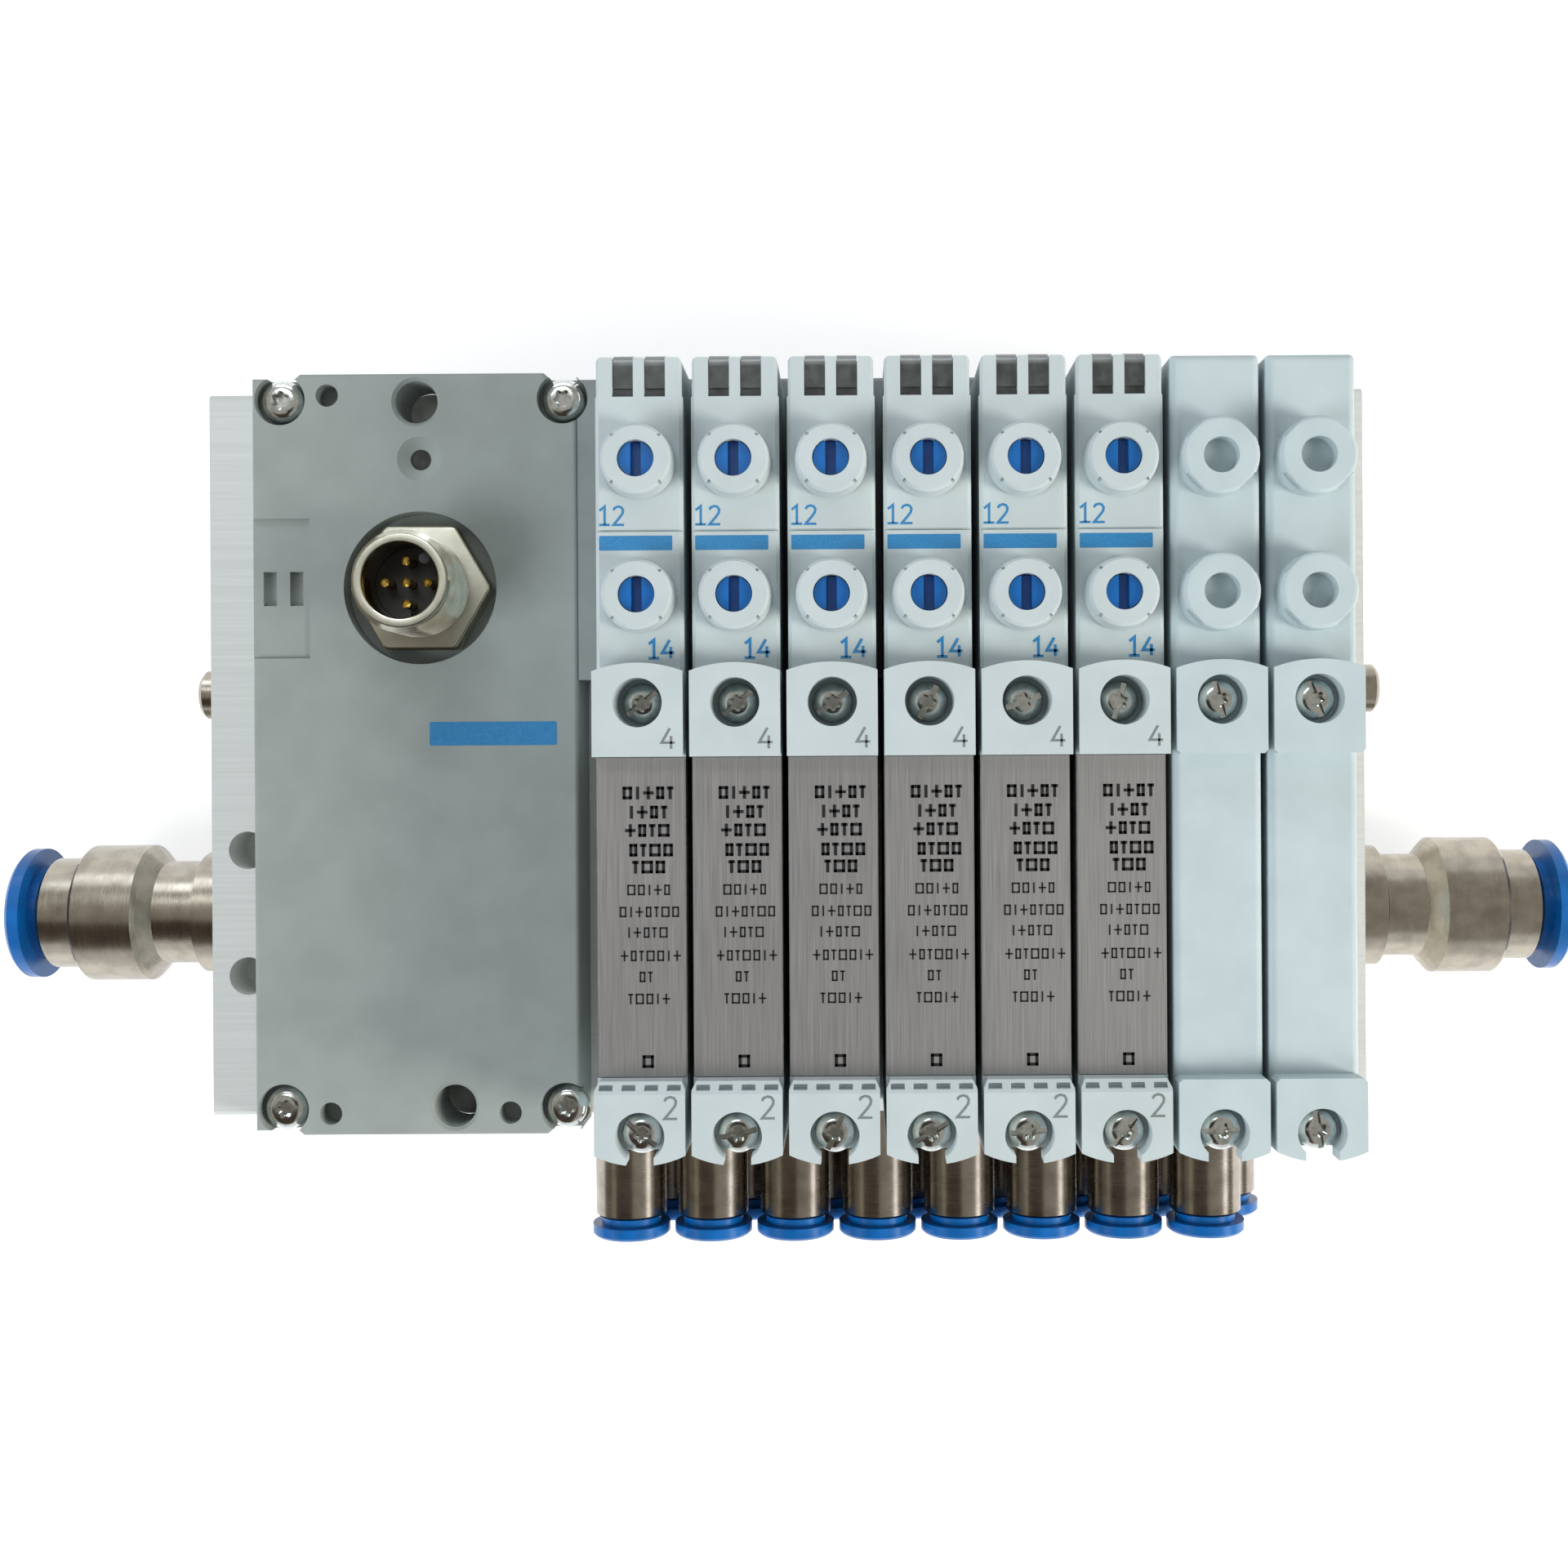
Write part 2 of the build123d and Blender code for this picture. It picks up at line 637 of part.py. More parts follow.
lens_end_y = pilot_back_y - lens_length
lens_end_width = pilot_width - 2 * lens_end_inset
with BuildPart() as pilot_housing:
    with BuildSketch(Plane.XY.offset(base_height)):
        with Locations((0, (pilot_front_y + pilot_back_y) / 2)):
            Rectangle(pilot_width, pilot_length)
    extrude(amount=pilot_top_height - base_height)
    chamfer(pilot_housing.edges().filter_by(Axis.Y).group_by(Axis.Z)[-1], pilot_edge)
    with BuildSketch(Plane.XY.offset(base_height)):
        with Locations((0, pilot_back_y - lens_length / 2)):
            Rectangle(pilot_width, lens_length)
        with Locations((0, pilot_back_y - lens_length / 2 - lens_end_corner)):
            RectangleRounded(
                lens_end_width, lens_length + 2 * lens_end_corner, lens_end_corner, mode=Mode.SUBTRACT
            )
    extrude(amount=pilot_top_height - base_height, mode=Mode.SUBTRACT)
    with Locations((0, pilot_seam_y, pilot_top_height)):
        Box(pilot_width, pilot_seam_width, 2 * pilot_seam_depth, mode=Mode.SUBTRACT)
    with Locations(*[(side * lens_spacing / 2, pilot_back_y, pilot_top_height) for side in (-1, 1)]):
        Box(lens_width, 2 * lens_length, 2 * lens_depth, mode=Mode.SUBTRACT)
    with Locations(*[(0, y, pilot_top_height) for y in override_y]):
        add(override_ring.part)
    with Locations(*[(0, y, pilot_top_height + ring_height) for y in override_y]):
        CounterBoreHole(
            tappet_stem / 2 + running_clearance, override_bore / 2, tappet_space_depth,
            stem_space_depth,
        )

with BuildPart() as pilot_housings:
    with Locations(*[(x, 0, rail_height) for x in valve_x]):
        add(pilot_housing.part)
pilot_housings.part.label = "pilot_housings"
export_step(pilot_housings.part, "parts/pilot_housings.step")

# Smoked lenses: each lies in its pocket, stepped at its inner end, and bulges over the back of
# the pilot housing.
lens_inner_y = lens_end_y + lens_clearance
lens_floor = pilot_top_height - lens_depth
lens_top = pilot_top_height - lens_drop
with BuildPart() as lens:
    with BuildSketch(Plane.YZ.offset(-lens_width / 2 + lens_clearance)):
        with BuildLine():
            Polyline((pilot_back_y, lens_floor), (lens_inner_y, lens_floor),
                     (lens_inner_y, lens_top - lens_step_drop),
                     (lens_inner_y + lens_step_length, lens_top - lens_step_drop),
                     (lens_inner_y + lens_step_length, lens_top), (pilot_back_y - lens_bulge, lens_top))
            ThreePointArc((pilot_back_y - lens_bulge, lens_top),
                          (pilot_back_y + lens_bulge, lens_top - lens_depth / 3),
                          (pilot_back_y, lens_floor))
        make_face()
    extrude(amount=lens_width - 2 * lens_clearance)

with BuildPart() as indicator_lenses:
    with Locations(*[(x + side * lens_spacing / 2, 0, rail_height) for x in valve_x for side in (-1, 1)]):
        add(lens.part)
indicator_lenses.part.label = "indicator_lenses"
export_step(indicator_lenses.part, "parts/indicator_lenses.step")

# ---------------------------------------------------------------- blanking plates
# One moulding closes a station: it repeats the outline of a valve, with blind rings in place of
# the overrides and rounded edges.
with BuildPart() as blank_ring:
    Cylinder(blank_ring_diameter / 2, ring_height, align=(Align.CENTER, Align.CENTER, Align.MIN))
    fillet(blank_ring.edges().group_by(Axis.Z)[-1], blank_ring_edge)
    with PolarLocations(blank_ring_diameter / 2, blank_ring_flat_count, ring_notch_angle):
        with Locations((0, 0, ring_height)):
            Box(2 * blank_ring_flat_depth, blank_ring_flat_width, 2 * blank_ring_flat_drop,
                mode=Mode.SUBTRACT)

with BuildPart() as blanking_plate:
    with BuildSketch(Plane.YZ.offset(-valve_width / 2)):
        with Locations(((valve_front_y + pilot_front_y) / 2, plate_height / 2)):
            Rectangle(pilot_front_y - valve_front_y, plate_height)
        with Locations(((pilot_front_y + pilot_back_y) / 2, (base_height + pilot_top_height) / 2)):
            Rectangle(pilot_length, pilot_top_height - base_height)
    extrude(amount=valve_width)
    fillet(blanking_plate.edges().filter_by(Axis.Z).group_by(Axis.Y)[-1], blank_corner)
    top_level = min(plate_height, pilot_top_height)
    top_edges = blanking_plate.edges().filter_by(Axis.Y).filter_by_position(Axis.Z, top_level, block_height)
    fillet(top_edges, blank_edge)
    with BuildSketch(Plane.XY.offset(top_level)):
        with BuildLine():
            Polyline(*block_plan(pilot_front_y, rear_block_y, blank_trim))
            ThreePointArc((valve_width / 2, pilot_front_y), (0, pilot_front_y + rear_crown_rise),
                          (-valve_width / 2, pilot_front_y))
        make_face()
        with BuildLine():
            Polyline(*block_plan(valve_front_y, body_front_y, blank_trim))
            ThreePointArc((valve_width / 2, valve_front_y), (0, valve_front_y - front_crown_rise),
                          (-valve_width / 2, valve_front_y))
        make_face()
    extrude(amount=block_height - top_level)
    with Locations(*[(0, y, block_height) for y in (rear_screw_y, front_screw_y)]):
        CounterBoreHole(
            valve_screw_shank / 2 + seat_clearance, valve_screw_pocket / 2, shallow_pocket_depth
        )
    with Locations((0, front_screw_y, block_height)):
        Box(
            blank_notch_width, front_screw_inset + front_crown_rise, 2 * shallow_pocket_depth,
            align=(Align.CENTER, Align.MAX, Align.CENTER), mode=Mode.SUBTRACT,
        )
    with Locations(*[(0, y, pilot_top_height) for y in override_y]):
        add(blank_ring.part)
    with Locations(*[(0, y, pilot_top_height + ring_height) for y in override_y]):
        Hole(blank_ring_bore / 2, blank_ring_hole_depth)

with BuildPart() as blanking_plates:
    with Locations(*[(x, 0, rail_height) for x in blank_x]):
        add(blanking_plate.part)
blanking_plates.part.label = "blanking_plates"
export_step(blanking_plates.part, "parts/blanking_plates.step")

# Two screws hold each station down. The deeper ones come first, so that the topmost edges are
# always those of the heads just added.
with BuildPart() as valve_screws:
    for depth, places in ((deep_pocket_depth, deep_screws_xy), (shallow_pocket_depth, shallow_screws_xy)):
        seat_z = block_top - depth
        with Locations(*[(x, y, seat_z) for x, y in places]):
            Cylinder(
                valve_screw_head / 2, valve_screw_head_height,
                align=(Align.CENTER, Align.CENTER, Align.MIN),
            )
            Cylinder(
                valve_screw_shank / 2, seat_z - rail_height + valve_screw_engagement,
                align=(Align.CENTER, Align.CENTER, Align.MAX),
            )
        chamfer(valve_screws.edges().group_by(Axis.Z)[-1], valve_screw_head_height / 4)
valve_screws.part.label = "valve_screws"
export_step(valve_screws.part, "parts/valve_screws.step")

# ---------------------------------------------------------------- manual overrides
# The slotted head turns on the pivot of its tappet, and both sink together when pressed.
with BuildPart() as head_form:
    Cylinder(
        override_bore / 2 - running_clearance, head_height,
        align=(Align.CENTER, Align.CENTER, Align.MIN),
    )
    with Locations((0, 0, head_height)):
        Box(head_slot_width, override_bore, 2 * head_slot_depth, mode=Mode.SUBTRACT)
    with Locations(Plane.XY.rotated((180, 0, 0))):
        Hole(pivot_diameter / 2 + running_clearance, pivot_height + stop_clearance)

with BuildPart() as tappet_form:
    Cylinder(
        pivot_diameter / 2, pivot_height, align=(Align.CENTER, Align.CENTER, Align.MIN)
    )
    Cylinder(
        override_bore / 2 - running_clearance, tappet_collar_height,
        align=(Align.CENTER, Align.CENTER, Align.MAX),
    )
    Cylinder(tappet_stem / 2, tappet_length, align=(Align.CENTER, Align.CENTER, Align.MAX))

head_base_z = ring_top - head_drop - head_height
for station, x in enumerate(valve_x, start=1):
    for stage, y in zip(override_names, override_y):
        with BuildPart() as override_head:
            with Locations((x, y, head_base_z)):
                add(head_form.part)
        override_head.part.label = f"override_head_{stage}_{station}"
        export_step(override_head.part, f"parts/override_head_{stage}_{station}.step")
        with BuildPart() as override_tappet:
            with Locations((x, y, head_base_z)):
                add(tappet_form.part)
        override_tappet.part.label = f"override_tappet_{stage}_{station}"
        export_step(override_tappet.part, f"parts/override_tappet_{stage}_{station}.step")

# ---------------------------------------------------------------- push-in fittings
# Turned bodies: threaded spigot, cylindrical body, collet space, tube seat and through bore.
with BuildPart() as port_body:
    with BuildSketch(Plane.XZ):
        with BuildLine():
            Polyline(
                (port_through_bore / 2, -port_thread_length), (port_thread / 2, -port_thread_length),
                (port_thread / 2, 0), (port_body_diameter / 2, 0),
                (port_body_diameter / 2, port_body_length - port_edge),
                (port_body_diameter / 2 - port_edge, port_body_length),
                (port_collet_bore / 2, port_body_length),
                (port_collet_bore / 2, port_body_length - port_collet_depth),
                (port_tube_bore / 2, port_body_length - port_collet_depth),
                (port_tube_bore / 2, port_body_length - port_seat_depth),
                (port_through_bore / 2, port_body_length - port_seat_depth), close=True,
            )
        make_face()
    revolve(axis=Axis.Z)

with BuildPart() as port_fittings:
    with Locations(*port_planes):
        add(port_body.part)
port_fittings.part.label = "port_fittings"
export_step(port_fittings.part, "parts/port_fittings.step")


def release_ring(ring_diameter, stem_diameter, tube_bore, ring_height_, stem_length, edge):
    """Return the outline of a release ring's section: a flange over a tubular stem."""
    return [
        (tube_bore / 2, -stem_length), (stem_diameter / 2, -stem_length), (stem_diameter / 2, 0),
        (ring_diameter / 2, 0), (ring_diameter / 2, ring_height_ - edge),
        (ring_diameter / 2 - edge, ring_height_), (tube_bore / 2 + edge, ring_height_),
        (tube_bore / 2, ring_height_ - edge),
    ]


with BuildPart() as port_ring:
    with BuildSketch(Plane.XZ):
        with BuildLine():
            Polyline(
                *release_ring(
                    port_ring_diameter, port_collet_bore - 2 * running_clearance, port_tube_bore,
                    port_ring_height, port_ring_gap + port_ring_stem, port_edge,
                ),
                close=True,
            )
        make_face()
    revolve(axis=Axis.Z)

ring_seat_y = rail_front - port_body_length - port_ring_gap
for row, places in port_places.items():
    for station, (x, z) in enumerate(places, start=1):
        with BuildPart() as release_collar:
            with Locations(Plane(origin=(x, ring_seat_y, z), x_dir=(1, 0, 0), z_dir=(0, -1, 0))):
                add(port_ring.part)
        release_collar.part.label = f"release_collar_{row}_{station}"
        export_step(release_collar.part, f"parts/release_collar_{row}_{station}.step")

# Supply fittings, one in each end of the supply duct
flange_end = supply_flange_length
neck_start = flange_end + supply_groove_length
neck_end = neck_start + supply_neck_length
collar_start = neck_end + supply_taper_length
collar_end = collar_start + supply_collar_length
nose_end = collar_end + supply_nose_length
with BuildPart() as supply_body:
    with BuildSketch(Plane.XZ):
        with BuildLine():
            Polyline(
                (supply_through_bore / 2, -supply_thread_length),
                (supply_thread / 2, -supply_thread_length), (supply_thread / 2, 0),
                (supply_flange_diameter / 2, 0), (supply_flange_diameter / 2, flange_end),
                (supply_neck_diameter / 2 - supply_groove_depth, flange_end),
                (supply_neck_diameter / 2 - supply_groove_depth, neck_start),
                (supply_neck_diameter / 2, neck_start), (supply_neck_diameter / 2, neck_end),
                (supply_collar_diameter / 2 - supply_edge, collar_start),
                (supply_collar_diameter / 2, collar_start + supply_edge),
                (supply_collar_diameter / 2, collar_end - supply_edge),
                (supply_collar_diameter / 2 - supply_edge, collar_end),
                (supply_nose_diameter / 2, collar_end), (supply_nose_diameter / 2, nose_end - supply_edge),
                (supply_nose_diameter / 2 - supply_edge, nose_end), (supply_collet_bore / 2, nose_end),
                (supply_collet_bore / 2, nose_end - supply_collet_depth),
                (supply_tube_bore / 2, nose_end - supply_collet_depth),
                (supply_tube_bore / 2, nose_end - supply_seat_depth),
                (supply_through_bore / 2, nose_end - supply_seat_depth), close=True,
            )
        make_face()
    revolve(axis=Axis.Z)

with BuildPart() as supply_fittings:
    with Locations(*[end_plane(side, supply_duct_y, supply_duct_height) for side in end_faces]):
        add(supply_body.part)
supply_fittings.part.label = "supply_fittings"
export_step(supply_fittings.part, "parts/supply_fittings.step")

with BuildPart() as supply_ring:
    with BuildSketch(Plane.XZ):
        with BuildLine():
            Polyline(
                *release_ring(
                    supply_ring_diameter, supply_collet_bore - 2 * running_clearance, supply_tube_bore,
                    supply_ring_height, supply_ring_gap + supply_ring_stem, supply_edge,
                ),
                close=True,
            )
        make_face()
    revolve(axis=Axis.Z)

for side in end_faces:
    seat = end_plane(side, supply_duct_y, supply_duct_height).offset(nose_end + supply_ring_gap)
    with BuildPart() as release_collar:
        with Locations(seat):
            add(supply_ring.part)
    release_collar.part.label = f"release_collar_supply_{side}"
    export_step(release_collar.part, f"parts/release_collar_supply_{side}.step")

# Plug screws close both ends of the pilot duct.
with BuildPart() as plug_form:
    Cylinder(
        plug_head_diameter / 2, plug_head_length, align=(Align.CENTER, Align.CENTER, Align.MIN)
    )
    chamfer(plug_form.edges().group_by(Axis.Z)[-1], plug_edge)
    Cylinder(plug_thread / 2, plug_thread_length, align=(Align.CENTER, Align.CENTER, Align.MAX))
    with BuildSketch(Plane.XY.offset(plug_head_length)):
        RegularPolygon(plug_hex / 2, 6, major_radius=False)
    extrude(amount=-plug_hex_depth, mode=Mode.SUBTRACT)

with BuildPart() as plug_screws:
    with Locations(*[end_plane(side, pilot_duct_y, pilot_duct_height) for side in end_faces]):
        add(plug_form.part)
plug_screws.part.label = "plug_screws"
export_step(plug_screws.part, "parts/plug_screws.step")
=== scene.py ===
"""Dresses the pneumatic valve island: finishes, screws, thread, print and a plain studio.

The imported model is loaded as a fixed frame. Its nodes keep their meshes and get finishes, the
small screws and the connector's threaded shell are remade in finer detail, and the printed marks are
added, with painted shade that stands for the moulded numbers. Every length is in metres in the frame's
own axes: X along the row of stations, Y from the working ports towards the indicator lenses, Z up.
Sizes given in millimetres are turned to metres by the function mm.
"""

import logging
import math
from dataclasses import dataclass, field
from enum import Enum
from typing import Callable, Iterable

import bmesh
import bpy
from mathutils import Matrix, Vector


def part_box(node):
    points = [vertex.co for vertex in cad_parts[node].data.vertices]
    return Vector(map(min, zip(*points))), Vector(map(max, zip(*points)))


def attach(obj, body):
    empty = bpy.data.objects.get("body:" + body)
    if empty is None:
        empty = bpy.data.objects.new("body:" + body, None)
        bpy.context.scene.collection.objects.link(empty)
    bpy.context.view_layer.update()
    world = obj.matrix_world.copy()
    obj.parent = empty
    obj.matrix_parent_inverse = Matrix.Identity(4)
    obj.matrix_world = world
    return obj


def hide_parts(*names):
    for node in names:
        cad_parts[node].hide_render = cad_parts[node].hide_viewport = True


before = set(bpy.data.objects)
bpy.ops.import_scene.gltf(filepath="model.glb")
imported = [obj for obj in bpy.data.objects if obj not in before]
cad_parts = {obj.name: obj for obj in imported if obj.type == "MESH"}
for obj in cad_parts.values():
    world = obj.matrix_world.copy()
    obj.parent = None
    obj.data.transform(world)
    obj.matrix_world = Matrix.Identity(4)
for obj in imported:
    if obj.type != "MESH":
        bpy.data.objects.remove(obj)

log = logging.getLogger("valve_island")
ISLAND = "island"
Point = tuple[float, float, float]
# Edges and faces count as lying in a plane within this distance, in metres.
FLAT = 1e-7


def mm(length: float) -> float:
    """Return a length given in millimetres as metres."""
    return length * 0.001


def linear(colour: str) -> tuple[float, float, float, float]:
    """Turn an sRGB hex colour into the linear colour that shaders take.

    Args:
        colour: The colour as six hex digits after a hash sign.

    Returns:
        Red, green, blue and an alpha of one.
    """
    channels = [int(colour[i:i + 2], 16) / 255 for i in (1, 3, 5)]
    red, green, blue = [c / 12.92 if c <= 0.04045 else ((c + 0.055) / 1.055) ** 2.4 for c in channels]
    return red, green, blue, 1.0


# ---------------------------------------------------------------- finishes
def add_node(tree: bpy.types.NodeTree, kind: str, settings: dict | None = None,
             links: dict | None = None) -> bpy.types.Node:
    """Add one node to a node tree, with its settings and links.

    Args:
        tree: The node tree that gets the node.
        kind: The node's type name.
        settings: Values by attribute name, socket name or socket number.
        links: Output sockets of earlier nodes, by input socket name or number.

    Returns:
        The new node.
    """
    node = tree.nodes.new(kind)
    for name, value in (settings or {}).items():
        if isinstance(name, str) and hasattr(node, name):
            setattr(node, name, value)
        else:
            node.inputs[name].default_value = value
    for name, source in (links or {}).items():
        tree.links.new(source, node.inputs[name])
    return node


def grain(size: float) -> float:
    """Return the noise scale whose pattern repeats about every size millimetres."""
    return 1.0 / mm(size)


class Axis(Enum):
    """The direction that a drawn, brushed or turned finish follows."""

    X = 0
    Y = 1
    Z = 2


@dataclass(frozen=True)
class Finish:
    """A surface finish, built once as a node-based material.

    Attributes:
        name: The material's name.
        colour: The main colour, sRGB hex.
        shade: The colour of its darker patches, sRGB hex.
        roughness: The mean roughness of the surface.
    """

    name: str
    colour: str
    shade: str
    roughness: float

    def material(self) -> bpy.types.Material:
        """Return the finish's material, and build it if it's new."""
        known = bpy.data.materials.get(self.name)
        if known:
            return known
        material = bpy.data.materials.new(self.name)
        material.use_nodes = True
        tree = material.node_tree
        tree.nodes.clear()
        place = add_node(tree, "ShaderNodeTexCoord").outputs["Object"]
        shader = self.shader(tree, place)
        add_node(tree, "ShaderNodeOutputMaterial", links={"Surface": shader.outputs["BSDF"]})
        return material

    def shader(self, tree: bpy.types.NodeTree, place: bpy.types.NodeSocket) -> bpy.types.Node:
        """Build the shader in the tree and return it; each kind of finish has its own."""
        raise NotImplementedError

    def patches(self, tree: bpy.types.NodeTree, place: bpy.types.NodeSocket, size: float,
                low: float = 0.35, high: float = 0.65) -> bpy.types.NodeSocket:
        """Mix the two colours in soft patches.

        Args:
            tree: The material's node tree.
            place: The coordinates that the pattern follows.
            size: The size of the patches in millimetres.
            low: The noise value that gives the shade alone.
            high: The noise value that gives the colour alone.

        Returns:
            The colour output.
        """
        noise = add_node(tree, "ShaderNodeTexNoise", {"Scale": grain(size), "Detail": 4.0}, {"Vector": place})
        spread = add_node(tree, "ShaderNodeMapRange", {"From Min": low, "From Max": high},
                          {"Value": noise.outputs["Fac"]})
        mix = add_node(tree, "ShaderNodeMix", {"data_type": "RGBA", 6: linear(self.shade),
                                               7: linear(self.colour)}, {0: spread.outputs["Result"]})
        return mix.outputs[2]

    def varied_roughness(self, tree: bpy.types.NodeTree, place: bpy.types.NodeSocket, size: float,
                         spread: float) -> bpy.types.NodeSocket:
        """Vary the roughness in soft patches.

        Args:
            tree: The material's node tree.
            place: The coordinates that the pattern follows.
            size: The size of the patches in millimetres.
            spread: The greatest change up or down.

        Returns:
            The roughness output.
        """
        noise = add_node(tree, "ShaderNodeTexNoise", {"Scale": grain(size), "Detail": 3.0}, {"Vector": place})
        return add_node(tree, "ShaderNodeMapRange", {"To Min": self.roughness - spread,
                                                     "To Max": self.roughness + spread},
                        {"Value": noise.outputs["Fac"]}).outputs["Result"]


@dataclass(frozen=True)
class MouldedPlastic(Finish):
    """Injection-moulded plastic with the fine spark-eroded texture of its mould.

    Attributes:
        patch: The size of the faint cloudy patches, in millimetres.
        texture: The size of the texture's pits, in millimetres.
        relief: The height of the texture, in millimetres.
    """

    patch: float = 6.0
    texture: float = 0.25
    relief: float = 0.012

    def shader(self, tree: bpy.types.NodeTree, place: bpy.types.NodeSocket) -> bpy.types.Node:
        """Build cloudy colour, uneven gloss and a fine pitted relief."""
        pits = add_node(tree, "ShaderNodeTexNoise", {"Scale": grain(self.texture), "Detail": 2.0},
                        {"Vector": place})
        bump = add_node(tree, "ShaderNodeBump", {"Strength": 0.6, "Distance": mm(self.relief)},
                        {"Height": pits.outputs["Fac"]})
        return add_node(tree, "ShaderNodeBsdfPrincipled", {"IOR": 1.5}, {
            "Base Color": self.patches(tree, place, self.patch),
            "Roughness": self.varied_roughness(tree, place, 3 * self.patch, 0.05),
            "Normal": bump.outputs["Normal"],
        })


@dataclass(frozen=True)
class StreakedMetal(Finish):
    """Metal with fine straight streaks along one axis, as extruding or brushing leaves.

    Attributes:
        along: The axis that the streaks follow.
        streak: The width of a streak, in millimetres.
        length: The length of a streak, in millimetres.
        metallic: One for bare metal, less under an oxide or lacquer film.
        contrast: How far the streaks change the roughness.
    """

    along: Axis = Axis.X
    streak: float = 0.2
    length: float = 12.0
    metallic: float = 1.0
    contrast: float = 0.08

    def shader(self, tree: bpy.types.NodeTree, place: bpy.types.NodeSocket) -> bpy.types.Node:
        """Build streaks that change colour, gloss and relief together."""
        scale = [grain(self.streak)] * 3
        scale[self.along.value] = grain(self.length)
        stretched = add_node(tree, "ShaderNodeMapping", {"Scale": scale}, {"Vector": place})
        streaks = add_node(tree, "ShaderNodeTexNoise", {"Scale": 1.0, "Detail": 3.0},
                           {"Vector": stretched.outputs["Vector"]})
        tint = add_node(tree, "ShaderNodeMapRange", {"From Min": 0.3, "From Max": 0.7},
                        {"Value": streaks.outputs["Fac"]})
        mix = add_node(tree, "ShaderNodeMix", {"data_type": "RGBA", 6: linear(self.shade),
                                               7: linear(self.colour)}, {0: tint.outputs["Result"]})
        gloss = add_node(tree, "ShaderNodeMapRange", {"To Min": self.roughness - self.contrast,
                                                      "To Max": self.roughness + self.contrast},
                         {"Value": streaks.outputs["Fac"]})
        bump = add_node(tree, "ShaderNodeBump", {"Strength": 0.35, "Distance": mm(0.01)},
                        {"Height": streaks.outputs["Fac"]})
        return add_node(tree, "ShaderNodeBsdfPrincipled", {"Metallic": self.metallic}, {
            "Base Color": mix.outputs[2], "Roughness": gloss.outputs["Result"],
            "Normal": bump.outputs["Normal"],
        })


@dataclass(frozen=True)
class TurnedMetal(Finish):
    """Plated metal that was turned on a lathe, with fine rings across one axis.

    Attributes:
        axis: The lathe's axis.
        feed: The distance from one tool mark to the next, in millimetres.
        cloud: The size of the faint stains in the plating, in millimetres.
    """

    axis: Axis = Axis.Y
    feed: float = 0.18
    cloud: float = 2.5

    def shader(self, tree: bpy.types.NodeTree, place: bpy.types.NodeSocket) -> bpy.types.Node:
        """Build rings of uneven gloss along the axis under a faintly stained plating."""
        scale = [grain(8.0)] * 3
        scale[self.axis.value] = grain(self.feed)
        stretched = add_node(tree, "ShaderNodeMapping", {"Scale": scale}, {"Vector": place})
        rings = add_node(tree, "ShaderNodeTexNoise", {"Scale": 1.0, "Detail": 2.0},
                         {"Vector": stretched.outputs["Vector"]})
        gloss = add_node(tree, "ShaderNodeMapRange", {"To Min": self.roughness - 0.07,
                                                      "To Max": self.roughness + 0.07},
                         {"Value": rings.outputs["Fac"]})
        bump = add_node(tree, "ShaderNodeBump", {"Strength": 0.25, "Distance": mm(0.006)},
                        {"Height": rings.outputs["Fac"]})
        return add_node(tree, "ShaderNodeBsdfPrincipled", {"Metallic": 1.0}, {
            "Base Color": self.patches(tree, place, self.cloud, 0.3, 0.6),
            "Roughness": gloss.outputs["Result"], "Normal": bump.outputs["Normal"],
        })


@dataclass(frozen=True)
class ClearPlastic(Finish):
    """Clear smoked plastic over a dark hollow, as on an indicator lens.

    Attributes:
        transmission: The share of light that passes.
        pale: The colour where the wall stands clear of the hollow, sRGB hex.
        pale_from: Where along Y the pale end starts, in millimetres.
    """

    transmission: float = 0.35
    pale: str = "#a9adac"
    pale_from: float = 1000.0

    def shader(self, tree: bpy.types.NodeTree, place: bpy.types.NodeSocket) -> bpy.types.Node:
        """Build a glossy tinted body with faint flow marks."""
        marks = add_node(tree, "ShaderNodeTexNoise", {"Scale": grain(1.2), "Detail": 2.0}, {"Vector": place})
        bump = add_node(tree, "ShaderNodeBump", {"Strength": 0.3, "Distance": mm(0.02)},
                        {"Height": marks.outputs["Fac"]})
        across = add_node(tree, "ShaderNodeSeparateXYZ", links={"Vector": place})
        end = add_node(tree, "ShaderNodeMapRange", {"From Min": mm(self.pale_from),
                                                    "From Max": mm(self.pale_from + 0.5)},
                       {"Value": across.outputs["Y"]})
        colour = add_node(tree, "ShaderNodeMix", {"data_type": "RGBA", 7: linear(self.pale)},
                          {0: end.outputs["Result"], 6: self.patches(tree, place, 1.5)})
        return add_node(tree, "ShaderNodeBsdfPrincipled", {
            "IOR": 1.58, "Transmission Weight": self.transmission,
        }, {
            "Base Color": colour.outputs[2],
            "Roughness": self.varied_roughness(tree, place, 1.0, 0.05), "Normal": bump.outputs["Normal"],
        })


@dataclass(frozen=True)
class Ink(Finish):
    """Pad-printed ink, also used for painted shade: a thin, slightly uneven film."""

    def shader(self, tree: bpy.types.NodeTree, place: bpy.types.NodeSocket) -> bpy.types.Node:
        """Build a film whose cover is a little thin in places."""
        return add_node(tree, "ShaderNodeBsdfPrincipled", {"IOR": 1.48}, {
            "Base Color": self.patches(tree, place, 0.25, 0.25, 0.6),
            "Roughness": self.varied_roughness(tree, place, 0.6, 0.06),
        })


# Clear-anodised extruded aluminium: pale, satin, with faint streaks along the rail.
ANODISED = StreakedMetal("anodised_aluminium_extruded", "#e2e4e0", "#d8dad6", 0.50, along=Axis.X,
                         streak=0.35, length=25.0, metallic=0.12, contrast=0.05)
